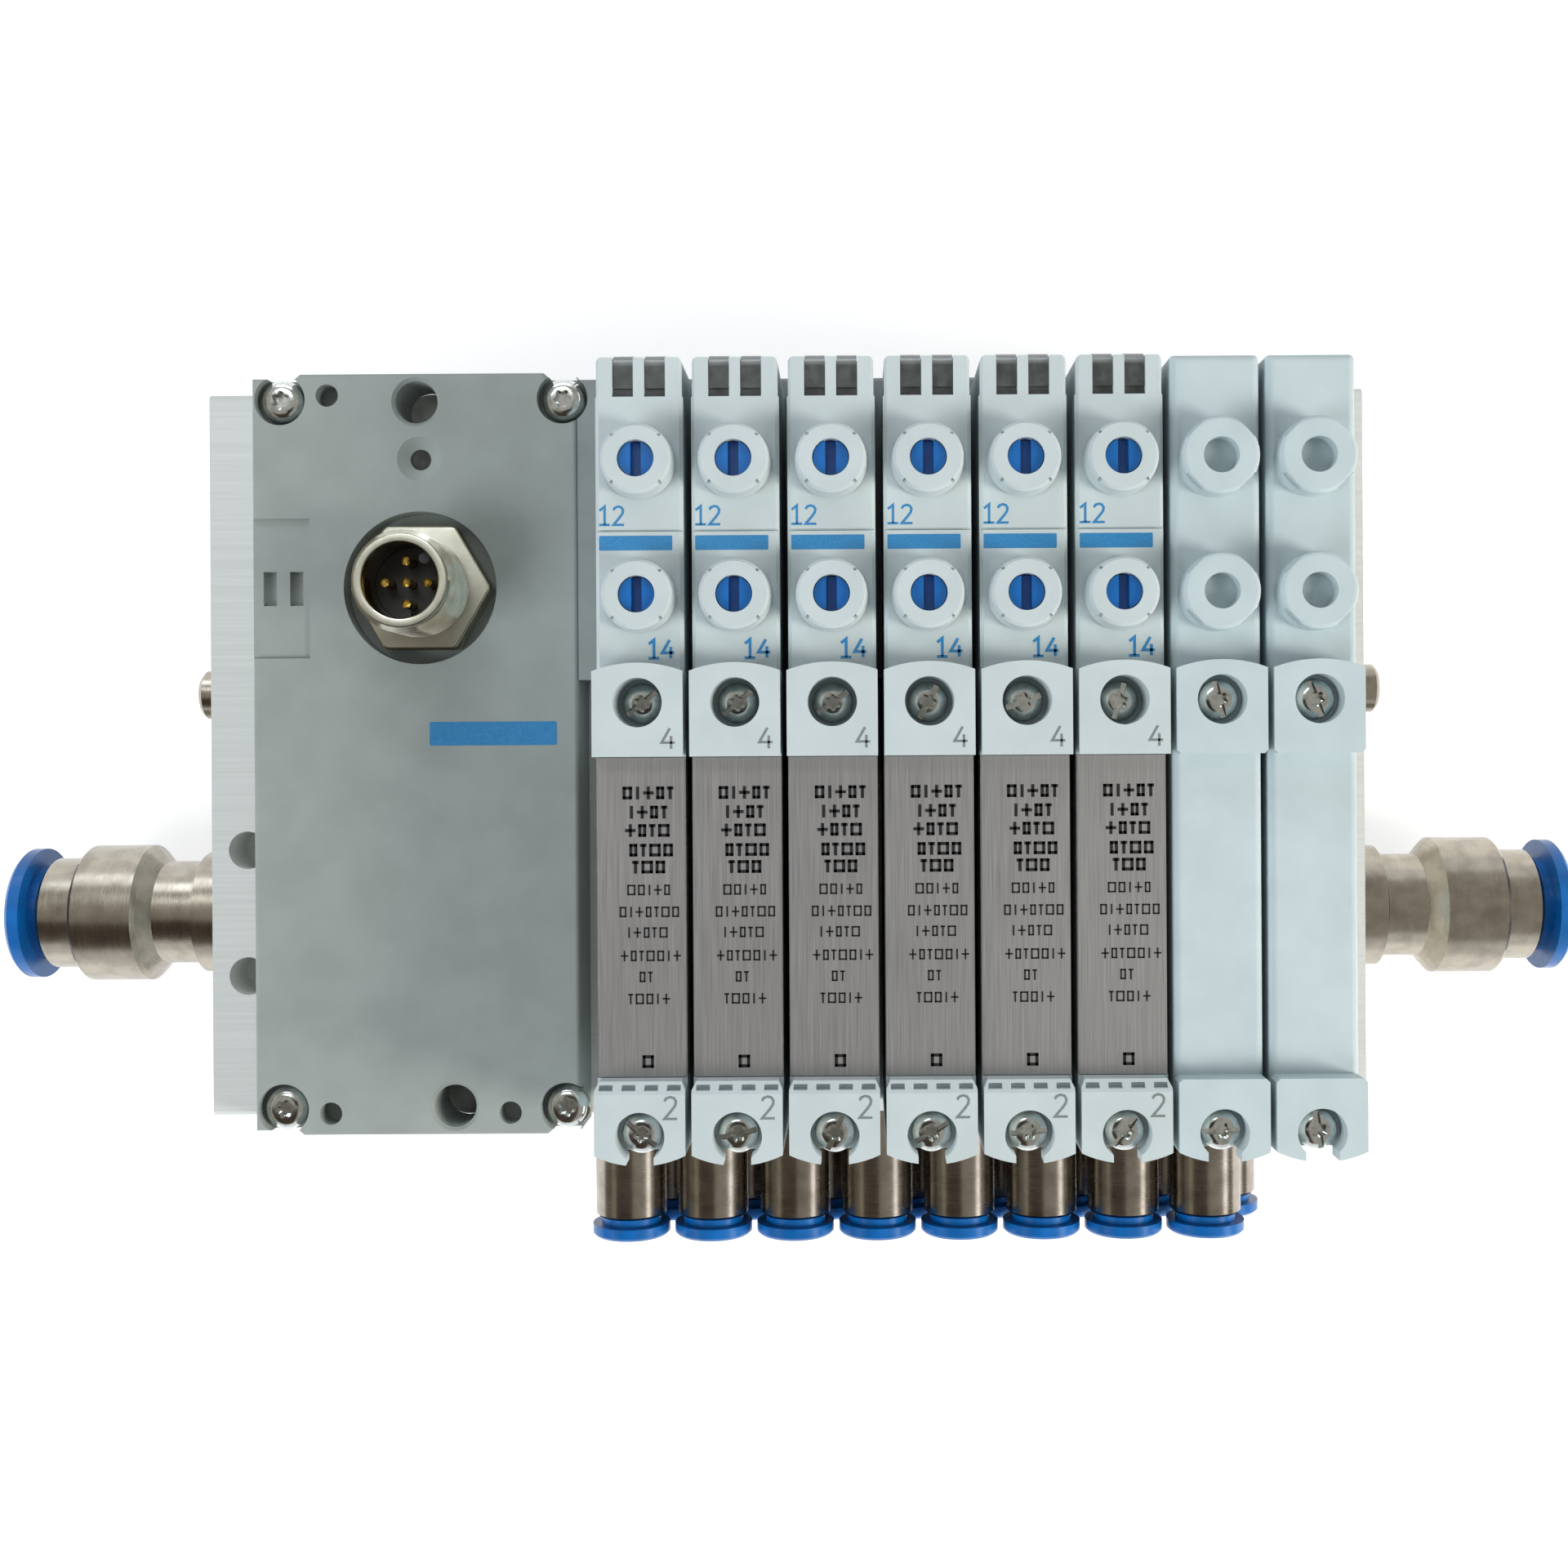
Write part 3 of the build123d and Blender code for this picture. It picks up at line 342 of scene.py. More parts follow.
# Extruded and anodised aluminium of the valve bodies, seen only at their sides.
VALVE_METAL = StreakedMetal("anodised_aluminium_body", "#b9bbb9", "#a4a6a4", 0.40, along=Axis.Z,
                            streak=0.3, length=15.0, metallic=0.8, contrast=0.06)
# Brushed aluminium nameplate under a clear lacquer: grey, with fine streaks along the valve.
NAMEPLATE = StreakedMetal("brushed_aluminium_plate", "#b9b7b6", "#9f9d9d", 0.36, along=Axis.Y,
                          streak=0.12, length=9.0, metallic=0.6, contrast=0.07)
# Moulded polyamide of the electronics housing: cool grey, matt, finely spark-eroded.
HOUSING = MouldedPlastic("polyamide_grey_moulded", "#9ba29e", "#949b97", 0.55)
# Moulded polyamide of the electrical base: the same grey, a little darker.
BASE = MouldedPlastic("polyamide_base_moulded", "#8e9594", "#848b89", 0.60)
# Moulded PBT of the valves: pale blue-grey, silky.
VALVE = MouldedPlastic("pbt_pale_grey_moulded", "#c4cfd0", "#bec9ca", 0.48)
# Moulded PBT of the blanking plates: the same pale grey, a little smoother.
BLANK = MouldedPlastic("pbt_blanking_moulded", "#c0ced1", "#b9c7ca", 0.46)
# White acetal of the override tappets.
TAPPET = MouldedPlastic("acetal_white_moulded", "#dcdcd6", "#d2d2cb", 0.40, texture=0.4, relief=0.004)
# Blue acetal of the release rings and override heads: saturated, with a wet-looking gloss.
BLUE = MouldedPlastic("acetal_blue_moulded", "#0a68b6", "#085ca2", 0.28, patch=3.0, texture=0.5,
                      relief=0.004)
# Black glass-filled polyamide of the connector's insert.
BLACK = MouldedPlastic("polyamide_black_moulded", "#232323", "#1a1a1a", 0.45, patch=2.0)
# Smoked polycarbonate lenses: grey, glossy, half clear.
SMOKED = ClearPlastic("polycarbonate_smoked", "#666b6a", "#4d5251", 0.22, pale_from=42.3)
# Clear polycarbonate of the light pipe, dark in its hole.
LIGHT_PIPE = ClearPlastic("polycarbonate_clear", "#4a504f", "#353a39", 0.12)
# Nickel-plated brass, turned: warm grey, bright, with fine rings round each axis.
FITTING_NICKEL = TurnedMetal("nickel_plated_brass_port", "#aea69b", "#968e82", 0.25, axis=Axis.Y)
SUPPLY_NICKEL = TurnedMetal("nickel_plated_brass_supply", "#b2ab9e", "#9a9286", 0.26, axis=Axis.X)
SHELL_NICKEL = TurnedMetal("nickel_plated_brass_shell", "#c9c8b8", "#b3b2a3", 0.16, axis=Axis.Z)
# Gold-plated contact pins.
GOLD = TurnedMetal("gold_plated_contact", "#d8b25a", "#c49a45", 0.22, axis=Axis.Z)
# Zinc-plated, clear-passivated steel screws: bright and faintly stained.
ZINC = TurnedMetal("zinc_plated_steel", "#d8dcda", "#bdc2bf", 0.17, axis=Axis.Z, cloud=0.9)
# Turned and left dull: the end faces of the connector's shell.
SHELL_FACE = TurnedMetal("nickel_plated_brass_face", "#d6d5c6", "#c6c5b6", 0.5, axis=Axis.Z)
# The insert's moulding mark, a little paler than the black around it.
MARK_BLACK = MouldedPlastic("polyamide_black_mark", "#3a3a3e", "#333337", 0.5, patch=1.0)
# Blue and black pad-printed inks, and painted shade for the grooves of shallow moulded numerals.
BLUE_INK = Ink("ink_blue_printed", "#2a7db4", "#3d8cc0", 0.45)
BLACK_INK = Ink("ink_black_printed", "#1c1c1d", "#2c2c2d", 0.40)
GROOVE_PAINTED_SHADE = Ink("moulded_groove_shade", "#767e7d", "#828a89", 0.60)

NODE_FINISHES: dict[str, Finish] = {
    "manifold_rail": ANODISED, "electronics_housing": HOUSING, "housing_screws": ZINC,
    "connector_shell": SHELL_NICKEL, "connector_insert": BLACK, "connector_pins": GOLD,
    "status_light": LIGHT_PIPE, "electrical_base": BASE, "valve_bodies": VALVE_METAL,
    "nameplates": NAMEPLATE, "end_blocks": VALVE, "pilot_housings": VALVE,
    "indicator_lenses": SMOKED, "blanking_plates": BLANK, "valve_screws": ZINC,
    "port_fittings": FITTING_NICKEL, "supply_fittings": SUPPLY_NICKEL, "plug_screws": SUPPLY_NICKEL,
}
PREFIX_FINISHES: dict[str, Finish] = {
    "override_tappet": TAPPET, "override_head": BLUE, "release_collar": BLUE,
}


# ---------------------------------------------------------------- modelling helpers
def deselect_all() -> None:
    """Leave edit mode and deselect every object."""
    if bpy.context.object and bpy.context.object.mode != "OBJECT":
        bpy.ops.object.mode_set(mode="OBJECT")
    for item in bpy.context.selected_objects:
        item.select_set(False)


def activate(piece: bpy.types.Object) -> None:
    """Make a piece the one selected and active object."""
    deselect_all()
    piece.select_set(True)
    bpy.context.view_layer.objects.active = piece


def start(primitive: Callable, name: str, **sizes) -> bpy.types.Object:
    """Add a primitive at its size and place and open it for shaping.

    Args:
        primitive: The operator that adds it.
        name: The new piece's name.
        **sizes: The operator's own settings.

    Returns:
        The new object, in edit mode with nothing selected.
    """
    deselect_all()
    primitive(**sizes)
    piece = bpy.context.object
    piece.name = name
    bpy.ops.object.mode_set(mode="EDIT")
    bpy.ops.mesh.select_all(action="DESELECT")
    return piece


def select_faces(piece: bpy.types.Object, test: Callable[[Vector, Vector], bool]) -> None:
    """Select only the faces whose middle and normal pass a test."""
    bpy.ops.mesh.select_mode(type="FACE")
    mesh = bmesh.from_edit_mesh(piece.data)
    for face in mesh.faces:
        face.select_set(test(face.calc_center_median(), face.normal))
    mesh.select_flush(False)
    bmesh.update_edit_mesh(piece.data)


def select_edges(piece: bpy.types.Object, test: Callable[[Vector, Vector], bool]) -> None:
    """Select only the edges whose two ends pass a test."""
    bpy.ops.mesh.select_mode(type="EDGE")
    mesh = bmesh.from_edit_mesh(piece.data)
    for edge in mesh.edges:
        edge.select_set(test(edge.verts[0].co, edge.verts[1].co))
    bmesh.update_edit_mesh(piece.data)


def extrude_by(length: Point) -> None:
    """Extrude the selected faces by a vector."""
    bpy.ops.mesh.extrude_region_move(TRANSFORM_OT_translate={"value": length})


def close_edit(piece: bpy.types.Object) -> bpy.types.Object:
    """Turn all faces outwards and leave edit mode."""
    bpy.ops.mesh.select_all(action="SELECT")
    bpy.ops.mesh.normals_make_consistent(inside=False)
    bpy.ops.object.mode_set(mode="OBJECT")
    return piece


def apply_modifier(piece: bpy.types.Object, kind: str, **settings) -> None:
    """Add a modifier to a piece, set it and apply it."""
    activate(piece)
    modifier = piece.modifiers.new(kind.title(), kind)
    for name, value in settings.items():
        setattr(modifier, name, value)
    bpy.ops.object.modifier_apply(modifier=modifier.name)


def cut_away(piece: bpy.types.Object, cutter: bpy.types.Object) -> None:
    """Cut one object out of a piece and throw the cutter away."""
    apply_modifier(piece, "BOOLEAN", operation="DIFFERENCE", object=cutter, solver="EXACT")
    bpy.data.objects.remove(cutter)


def join(pieces: list[bpy.types.Object], name: str) -> bpy.types.Object:
    """Join pieces into one under a name, with their places in its mesh."""
    deselect_all()
    for piece in pieces:
        piece.select_set(True)
    bpy.context.view_layer.objects.active = pieces[0]
    if len(pieces) > 1:
        bpy.ops.object.join()
    bpy.ops.object.transform_apply(location=True, rotation=True, scale=True)
    pieces[0].name = name
    return pieces[0]


def set_copies(master: bpy.types.Object, name: str, places: Iterable[tuple[Point, float]]
               ) -> bpy.types.Object:
    """Set copies of a finished master at their places and join them into one piece.

    Args:
        master: The piece at the origin; it's used up.
        name: The joined piece's name.
        places: The place of each copy, with its turn about Z in degrees.

    Returns:
        The joined piece, with its places in its mesh.
    """
    copies = []
    for place, turn in places:
        twin = master.copy()
        twin.data = master.data.copy()
        twin.location = place
        twin.rotation_euler = (0.0, 0.0, math.radians(turn))
        bpy.context.scene.collection.objects.link(twin)
        copies.append(twin)
    bpy.data.objects.remove(master)
    return join(copies, name)


def finish_piece(piece: bpy.types.Object, finish: Finish, body: str = ISLAND, angle: float = 35.0
                 ) -> bpy.types.Object:
    """Give a piece its finish and its body, and smooth its round faces.

    Args:
        piece: The finished mesh, standing at the origin.
        finish: Its surface finish.
        body: The body that it moves with.
        angle: Edges sharper than this many degrees stay sharp.

    Returns:
        The piece.
    """
    activate(piece)
    bpy.ops.object.shade_smooth_by_angle(angle=math.radians(angle))
    piece.data.materials.clear()
    piece.data.materials.append(finish.material())
    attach(piece, body)
    log.info("%s: %d faces, on %s", piece.name, len(piece.data.polygons), body)
    return piece


# ---------------------------------------------------------------- places read from the frame
@dataclass
class Layout:
    """Places of the stations and pieces, worked out from the boxes of the frame's nodes."""

    valve_x: list[float] = field(default_factory=list)

    def __post_init__(self) -> None:
        """Read the centres of the override heads."""
        count = sum(1 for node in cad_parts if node.startswith("override_head_12_"))
        self.valve_x = [self.centre(f"override_head_12_{k}").x for k in range(1, count + 1)]

    @staticmethod
    def centre(node: str) -> Vector:
        """Return the centre of a node's box."""
        low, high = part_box(node)
        return (Vector(low) + Vector(high)) / 2

    @staticmethod
    def top(node: str) -> float:
        """Return the height of a node's top."""
        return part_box(node)[1][2]

    @staticmethod
    def top_near(node: str, x: float, y: float, reach: float = mm(2.5)) -> float:
        """Return the height of a node's highest point near a place seen from above."""
        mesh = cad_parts[node].data
        near = [v.co.z for v in mesh.vertices if abs(v.co.x - x) < reach and abs(v.co.y - y) < reach]
        return max(near)

    @property
    def pitch(self) -> float:
        """Return the distance from one station to the next."""
        return self.valve_x[1] - self.valve_x[0]

    @property
    def station_x(self) -> list[float]:
        """Return the centres of all stations, the blanked ones too."""
        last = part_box("blanking_plates")[1][0]
        blanks = round((last - self.valve_x[-1]) / self.pitch)
        return self.valve_x + [self.valve_x[-1] + self.pitch * (n + 1) for n in range(blanks)]


# ---------------------------------------------------------------- studio
# The point that the lamps face, half way up the part.
AIM = Vector((0.0, 0.0, 0.03))


@dataclass
class Softbox:
    """One soft lamp of the studio.

    Attributes:
        name: The lamp's name.
        place: Where it stands, in metres.
        size: Its width and height, in metres.
        power: Its power in watts.
        colour: The colour of its light, sRGB hex.
        mirrored: Whether glossy surfaces show it.
    """

    name: str
    place: Point
    size: tuple[float, float]
    power: float
    colour: str = "#ffffff"
    mirrored: bool = True

    def build(self) -> None:
        """Add the lamp, turned towards the part."""
        data = bpy.data.lights.new(self.name, "AREA")
        data.shape = "RECTANGLE"
        data.size, data.size_y = self.size
        data.energy = self.power
        data.color = linear(self.colour)[:3]
        lamp = bpy.data.objects.new(self.name, data)
        lamp.location = self.place
        lamp.visible_glossy = self.mirrored
        lamp.rotation_euler = (AIM - Vector(self.place)).to_track_quat("-Z", "Y").to_euler()
        bpy.context.scene.collection.objects.link(lamp)


@dataclass
class Card:
    """A flat card that only reflections show, like the surroundings of a real studio.

    Attributes:
        name: The card's name.
        place: Its centre, in metres.
        size: Its width and depth, in metres.
        colour: The light that it gives back, sRGB hex.
        turn: Its turn about Y, in degrees.
        strength: The strength of its light; one gives the colour as written.
    """

    name: str
    place: Point
    size: tuple[float, float]
    colour: str
    turn: float = 0.0
    strength: float = 1.0

    def build(self) -> None:
        """Add the card, hidden from everything but gloss."""
        deselect_all()
        bpy.ops.mesh.primitive_plane_add(size=1.0, location=self.place)
        card = bpy.context.object
        card.name = self.name
        card.scale = (*self.size, 1.0)
        card.rotation_euler = (0.0, math.radians(self.turn), 0.0)
        material = bpy.data.materials.new(self.name)
        material.use_nodes = True
        tree = material.node_tree
        tree.nodes.clear()
        glow = add_node(tree, "ShaderNodeEmission", {"Color": linear(self.colour), "Strength": self.strength})
        add_node(tree, "ShaderNodeOutputMaterial", links={"Surface": glow.outputs[0]})
        card.data.materials.append(material)
        card.visible_camera = False
        card.visible_diffuse = False
        card.visible_shadow = False
        card.visible_transmission = False


@dataclass
class Studio:
    """The floor, the lamps, the world and the camera.

    Attributes:
        floor_size: The floor's side, in metres.
        sky: The strength of the even light from all round.
        floor_glow: The share of the floor's white that the camera sees without any lamp.
        camera_place: The camera's place; it looks straight down.
        camera_turn: The camera's turn about its own axis, in degrees.
        focal_length: The lens, in millimetres on a 36 mm sensor.
        shift: The shift of the lens, as a share of the picture's width.
        lamps: The soft lamps.
        cards: The cards that only reflections show.
    """

    floor_size: float = 4.0
    sky: float = 0.34
    floor_glow: float = 0.6
    camera_place: Point = (0.0087, 0.0, 0.2433)
    camera_turn: float = -0.35
    focal_length: float = 40.31
    shift: tuple[float, float] = (-0.0469, -0.0208)
    lamps: list[Softbox] = field(default_factory=lambda: [
        Softbox("lamp_right", (0.52, -0.15, 0.30), (0.16, 0.34), 3.3, "#fffaf2", False),
        Softbox("lamp_left", (-0.46, -0.20, 0.36), (0.30, 0.30), 2.3, "#f4faff", False),
        Softbox("lamp_back", (-0.12, 0.60, 0.34), (0.50, 0.22), 1.2, "#eef7ff"),
    ])
    cards: list[Card] = field(default_factory=lambda: [
        Card("ceiling", (0.0, 0.0, 1.3), (5.0, 5.0), "#a8a49c"),
        Card("wall_left", (-2.2, 0.0, 0.9), (1.9, 5.0), "#77736a", 90.0),
        Card("wall_right", (2.2, 0.0, 0.9), (1.9, 5.0), "#6f6a62", 90.0),
        Card("window_right", (0.50, 0.0, 0.28), (0.13, 0.9), "#ffffff", 61.0, 2.6),
        Card("blind_right", (0.34, 0.0, 0.42), (0.10, 0.9), "#aaa7a1", 39.0),
        Card("skylight", (-0.13, 0.26, 0.50), (0.22, 0.12), "#f4faff", 0.0, 9.0),
        Card("window_left", (-0.44, 0.0, 0.34), (0.10, 0.9), "#b3ae9c", -52.0),
        Card("camera_body", (-0.016, -0.025, 0.245), (0.108, 0.074), "#2a2725"),
        Card("camera_holder", (-0.20, -0.54, 0.45), (0.50, 0.84), "#463a32"),
    ])

    def build_floor(self) -> None:
        """Add the pale floor, which keeps the part's shadow and shows white elsewhere."""
        deselect_all()
        bpy.ops.mesh.primitive_plane_add(size=self.floor_size)
        floor = bpy.context.object
        floor.name = "floor"
        material = bpy.data.materials.new("studio_floor")
        material.use_nodes = True
        tree = material.node_tree
        tree.nodes.clear()
        seen = self.seen_directly(tree)
        matt = add_node(tree, "ShaderNodeBsdfDiffuse", {"Color": linear("#d6d6d6")})
        glow = add_node(tree, "ShaderNodeEmission", {"Color": linear("#ffffff")})
        level = add_node(tree, "ShaderNodeMath", {"operation": "MULTIPLY", 1: self.floor_glow},
                         {0: seen})
        tree.links.new(level.outputs[0], glow.inputs["Strength"])
        both = add_node(tree, "ShaderNodeAddShader", links={0: matt.outputs[0], 1: glow.outputs[0]})
        add_node(tree, "ShaderNodeOutputMaterial", links={"Surface": both.outputs[0]})
        floor.data.materials.append(material)

    @staticmethod
    def seen_directly(tree: bpy.types.NodeTree) -> bpy.types.NodeSocket:
        """Return a socket that is one for camera rays and for what gloss and glass show."""
        path = add_node(tree, "ShaderNodeLightPath")
        gloss = add_node(tree, "ShaderNodeMath", {"operation": "MAXIMUM"}, {
            0: path.outputs["Is Camera Ray"], 1: path.outputs["Is Glossy Ray"]})
        glass = add_node(tree, "ShaderNodeMath", {"operation": "MAXIMUM"}, {
            0: gloss.outputs[0], 1: path.outputs["Is Transmission Ray"]})
        return glass.outputs[0]

    def build_world(self) -> None:
        """Set an even sky that lights the part softly and shows as white."""
        world = bpy.data.worlds.new("studio")
        bpy.context.scene.world = world
        world.use_nodes = True
        tree = world.node_tree
        tree.nodes.clear()
        seen = self.seen_directly(tree)
        strength = add_node(tree, "ShaderNodeMapRange", {"To Min": self.sky, "To Max": 1.0},
                            {"Value": seen})
        sky = add_node(tree, "ShaderNodeBackground", {"Color": linear("#fbfdff")},
                       {"Strength": strength.outputs["Result"]})
        add_node(tree, "ShaderNodeOutputWorld", links={"Surface": sky.outputs[0]})

    def build_room(self) -> None:
        """Add the room that gloss shows: walls, windows and the camera's dark shape."""
        for card in self.cards:
            card.build()

    def build_camera(self) -> None:
        """Add the camera above the part."""
        data = bpy.data.cameras.new("camera")
        data.lens = self.focal_length
        data.sensor_width = 36.0
        data.shift_x, data.shift_y = self.shift
        data.clip_start = 0.01
        camera = bpy.data.objects.new("camera", data)
        camera.location = self.camera_place
        camera.rotation_euler = (0.0, 0.0, math.radians(self.camera_turn))
        bpy.context.scene.collection.objects.link(camera)
        bpy.context.scene.camera = camera
        bpy.context.scene.view_settings.view_transform = "Standard"

    def build(self) -> None:
        """Build the whole studio."""
        self.build_floor()
        self.build_room()
        self.build_world()
        self.build_camera()
        for lamp in self.lamps:
            lamp.build()


# ---------------------------------------------------------------- screws
class Drive(Enum):
    """The recess of a screw's head."""

    LOBED = "six lobes"
    LOBED_AND_SLOT = "six lobes and a slot"


@dataclass
class PanScrew:
    """A pan-head screw with a lobed recess, and a slot across it where it has one.

    Attributes:
        head: The head's diameter.
        height: The head's height.
        crown: The radius that rounds the head's rim.
        shank: The shank's diameter.
        length: The shank's length.
        lobes: The diameter across the recess's lobes.
        recess: The depth of the recess.
        slot: The width of the slot.
        drive: The kind of recess.
        lobing: How far the recess's outline draws in between its lobes, as a share.
        taper: The recess's width at its floor, as a share of that at its mouth.
    """

    head: float
    height: float
    crown: float
    shank: float
    length: float
    lobes: float
    recess: float
    slot: float
    drive: Drive
    lobing: float = 0.14
    taper: float = 0.82

    def build(self, name: str) -> bpy.types.Object:
        """Model the screw with the underside of its head at the origin.

        Args:
            name: The piece's name.

        Returns:
            The finished mesh object.
        """
        top = self.height
        screw = start(bpy.ops.mesh.primitive_cylinder_add, name, vertices=48, radius=self.head / 2,
                      depth=self.height, location=(0, 0, self.height / 2))
        half = self.height / 2
        select_edges(screw, lambda a, b: min(a.z, b.z) > half - FLAT)
        bpy.ops.mesh.bevel(offset=self.crown, segments=6, profile=0.5, affect="EDGES")
        select_faces(screw, lambda middle, normal: normal.z > 0.999 and middle.z > half - FLAT)
        flat = self.head / 2 - self.crown
        bpy.ops.mesh.inset(thickness=max(flat - self.lobes / 2, mm(0.02)))
        bpy.ops.mesh.select_mode(type="VERT")
        mesh = bmesh.from_edit_mesh(screw.data)
        ring = [v for v in mesh.verts if v.select]
        for vertex in ring:
            around = math.atan2(vertex.co.y, vertex.co.x)
            pull = 1.0 - self.lobing * (1.0 - math.cos(6 * around))
            vertex.co.x *= pull
            vertex.co.y *= pull
        bmesh.update_edit_mesh(screw.data)
        bpy.ops.mesh.select_mode(type="FACE")
        extrude_by((0, 0, -self.recess))
        bpy.ops.transform.resize(value=(self.taper, self.taper, 1.0))
        select_faces(screw, lambda middle, normal: normal.z < -0.999 and middle.z < -half + FLAT)
        bpy.ops.mesh.inset(thickness=(self.head - self.shank) / 2)
        extrude_by((0, 0, -self.length))
        close_edit(screw)
        bpy.ops.object.transform_apply(location=True, rotation=True, scale=True)
        if self.drive is Drive.LOBED_AND_SLOT:
            deselect_all()
            bpy.ops.mesh.primitive_cube_add(size=1.0, location=(0, 0, top))
            cutter = bpy.context.object
            cutter.scale = (self.head * 1.2, self.slot, self.recess)
            bpy.ops.object.transform_apply(location=True, rotation=True, scale=True)
            cut_away(screw, cutter)
        return screw


@dataclass
class ScrewSet:
    """All screws of the island that the view shows.

    Attributes:
        layout: The places read from the frame.
        valve_turns: The turn of each station screw in degrees, as each was left when tightened.
        housing_turns: The same for the screws of the electronics housing.
    """

    layout: Layout
    valve_turns: tuple[float, ...] = (38, 40, 35, 62, 20, 74, 104, 110, -40, 12, 66, 30, 5, 52, 2, 98)
    housing_turns: tuple[float, ...] = (12.0, 41.0, 27.0, 3.0)

    def build_valve_screws(self) -> None:
        """Model the sixteen screws of the stations."""
        low, high = (Vector(corner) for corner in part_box("valve_screws"))
        head, height = mm(4.5), mm(1.7)
        rows = [(x, y) for y in (high.y - head / 2, low.y + head / 2) for x in self.layout.station_x]
        tops = [self.layout.top_near("valve_screws", x, y) for x, y in rows]
        master = PanScrew(head, height, mm(1.22), mm(3.0), min(tops) - height - low.z, mm(1.9), mm(1.1),
                          mm(0.6), Drive.LOBED_AND_SLOT).build("valve_screw_set")
        places = [((x, y, top - height), turn)
                  for (x, y), top, turn in zip(rows, tops, self.valve_turns)]
        screws = set_copies(master, "valve_screw_set", places)
        finish_piece(screws, ZINC)
        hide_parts("valve_screws")

    def build_housing_screws(self) -> None:
        """Model the four screws of the electronics housing."""
        low, high = (Vector(corner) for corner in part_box("housing_screws"))
        head, height = mm(5.3), mm(1.9)
        seat = high.z - height
        master = PanScrew(head, height, mm(1.4), mm(3.0), seat - low.z, mm(2.3), mm(0.9), mm(0.6),
                          Drive.LOBED).build("housing_screw_set")
        places = [((x, y, seat), turn) for (x, y), turn in zip(
            ((low.x + head / 2, low.y + head / 2), (high.x - head / 2, low.y + head / 2),
             (low.x + head / 2, high.y - head / 2), (high.x - head / 2, high.y - head / 2)),
            self.housing_turns)]
        screws = set_copies(master, "housing_screw_set", places)
        finish_piece(screws, ZINC)
        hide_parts("housing_screws")

    def build(self) -> None:
        """Build both sets."""
        self.build_valve_screws()
        self.build_housing_screws()


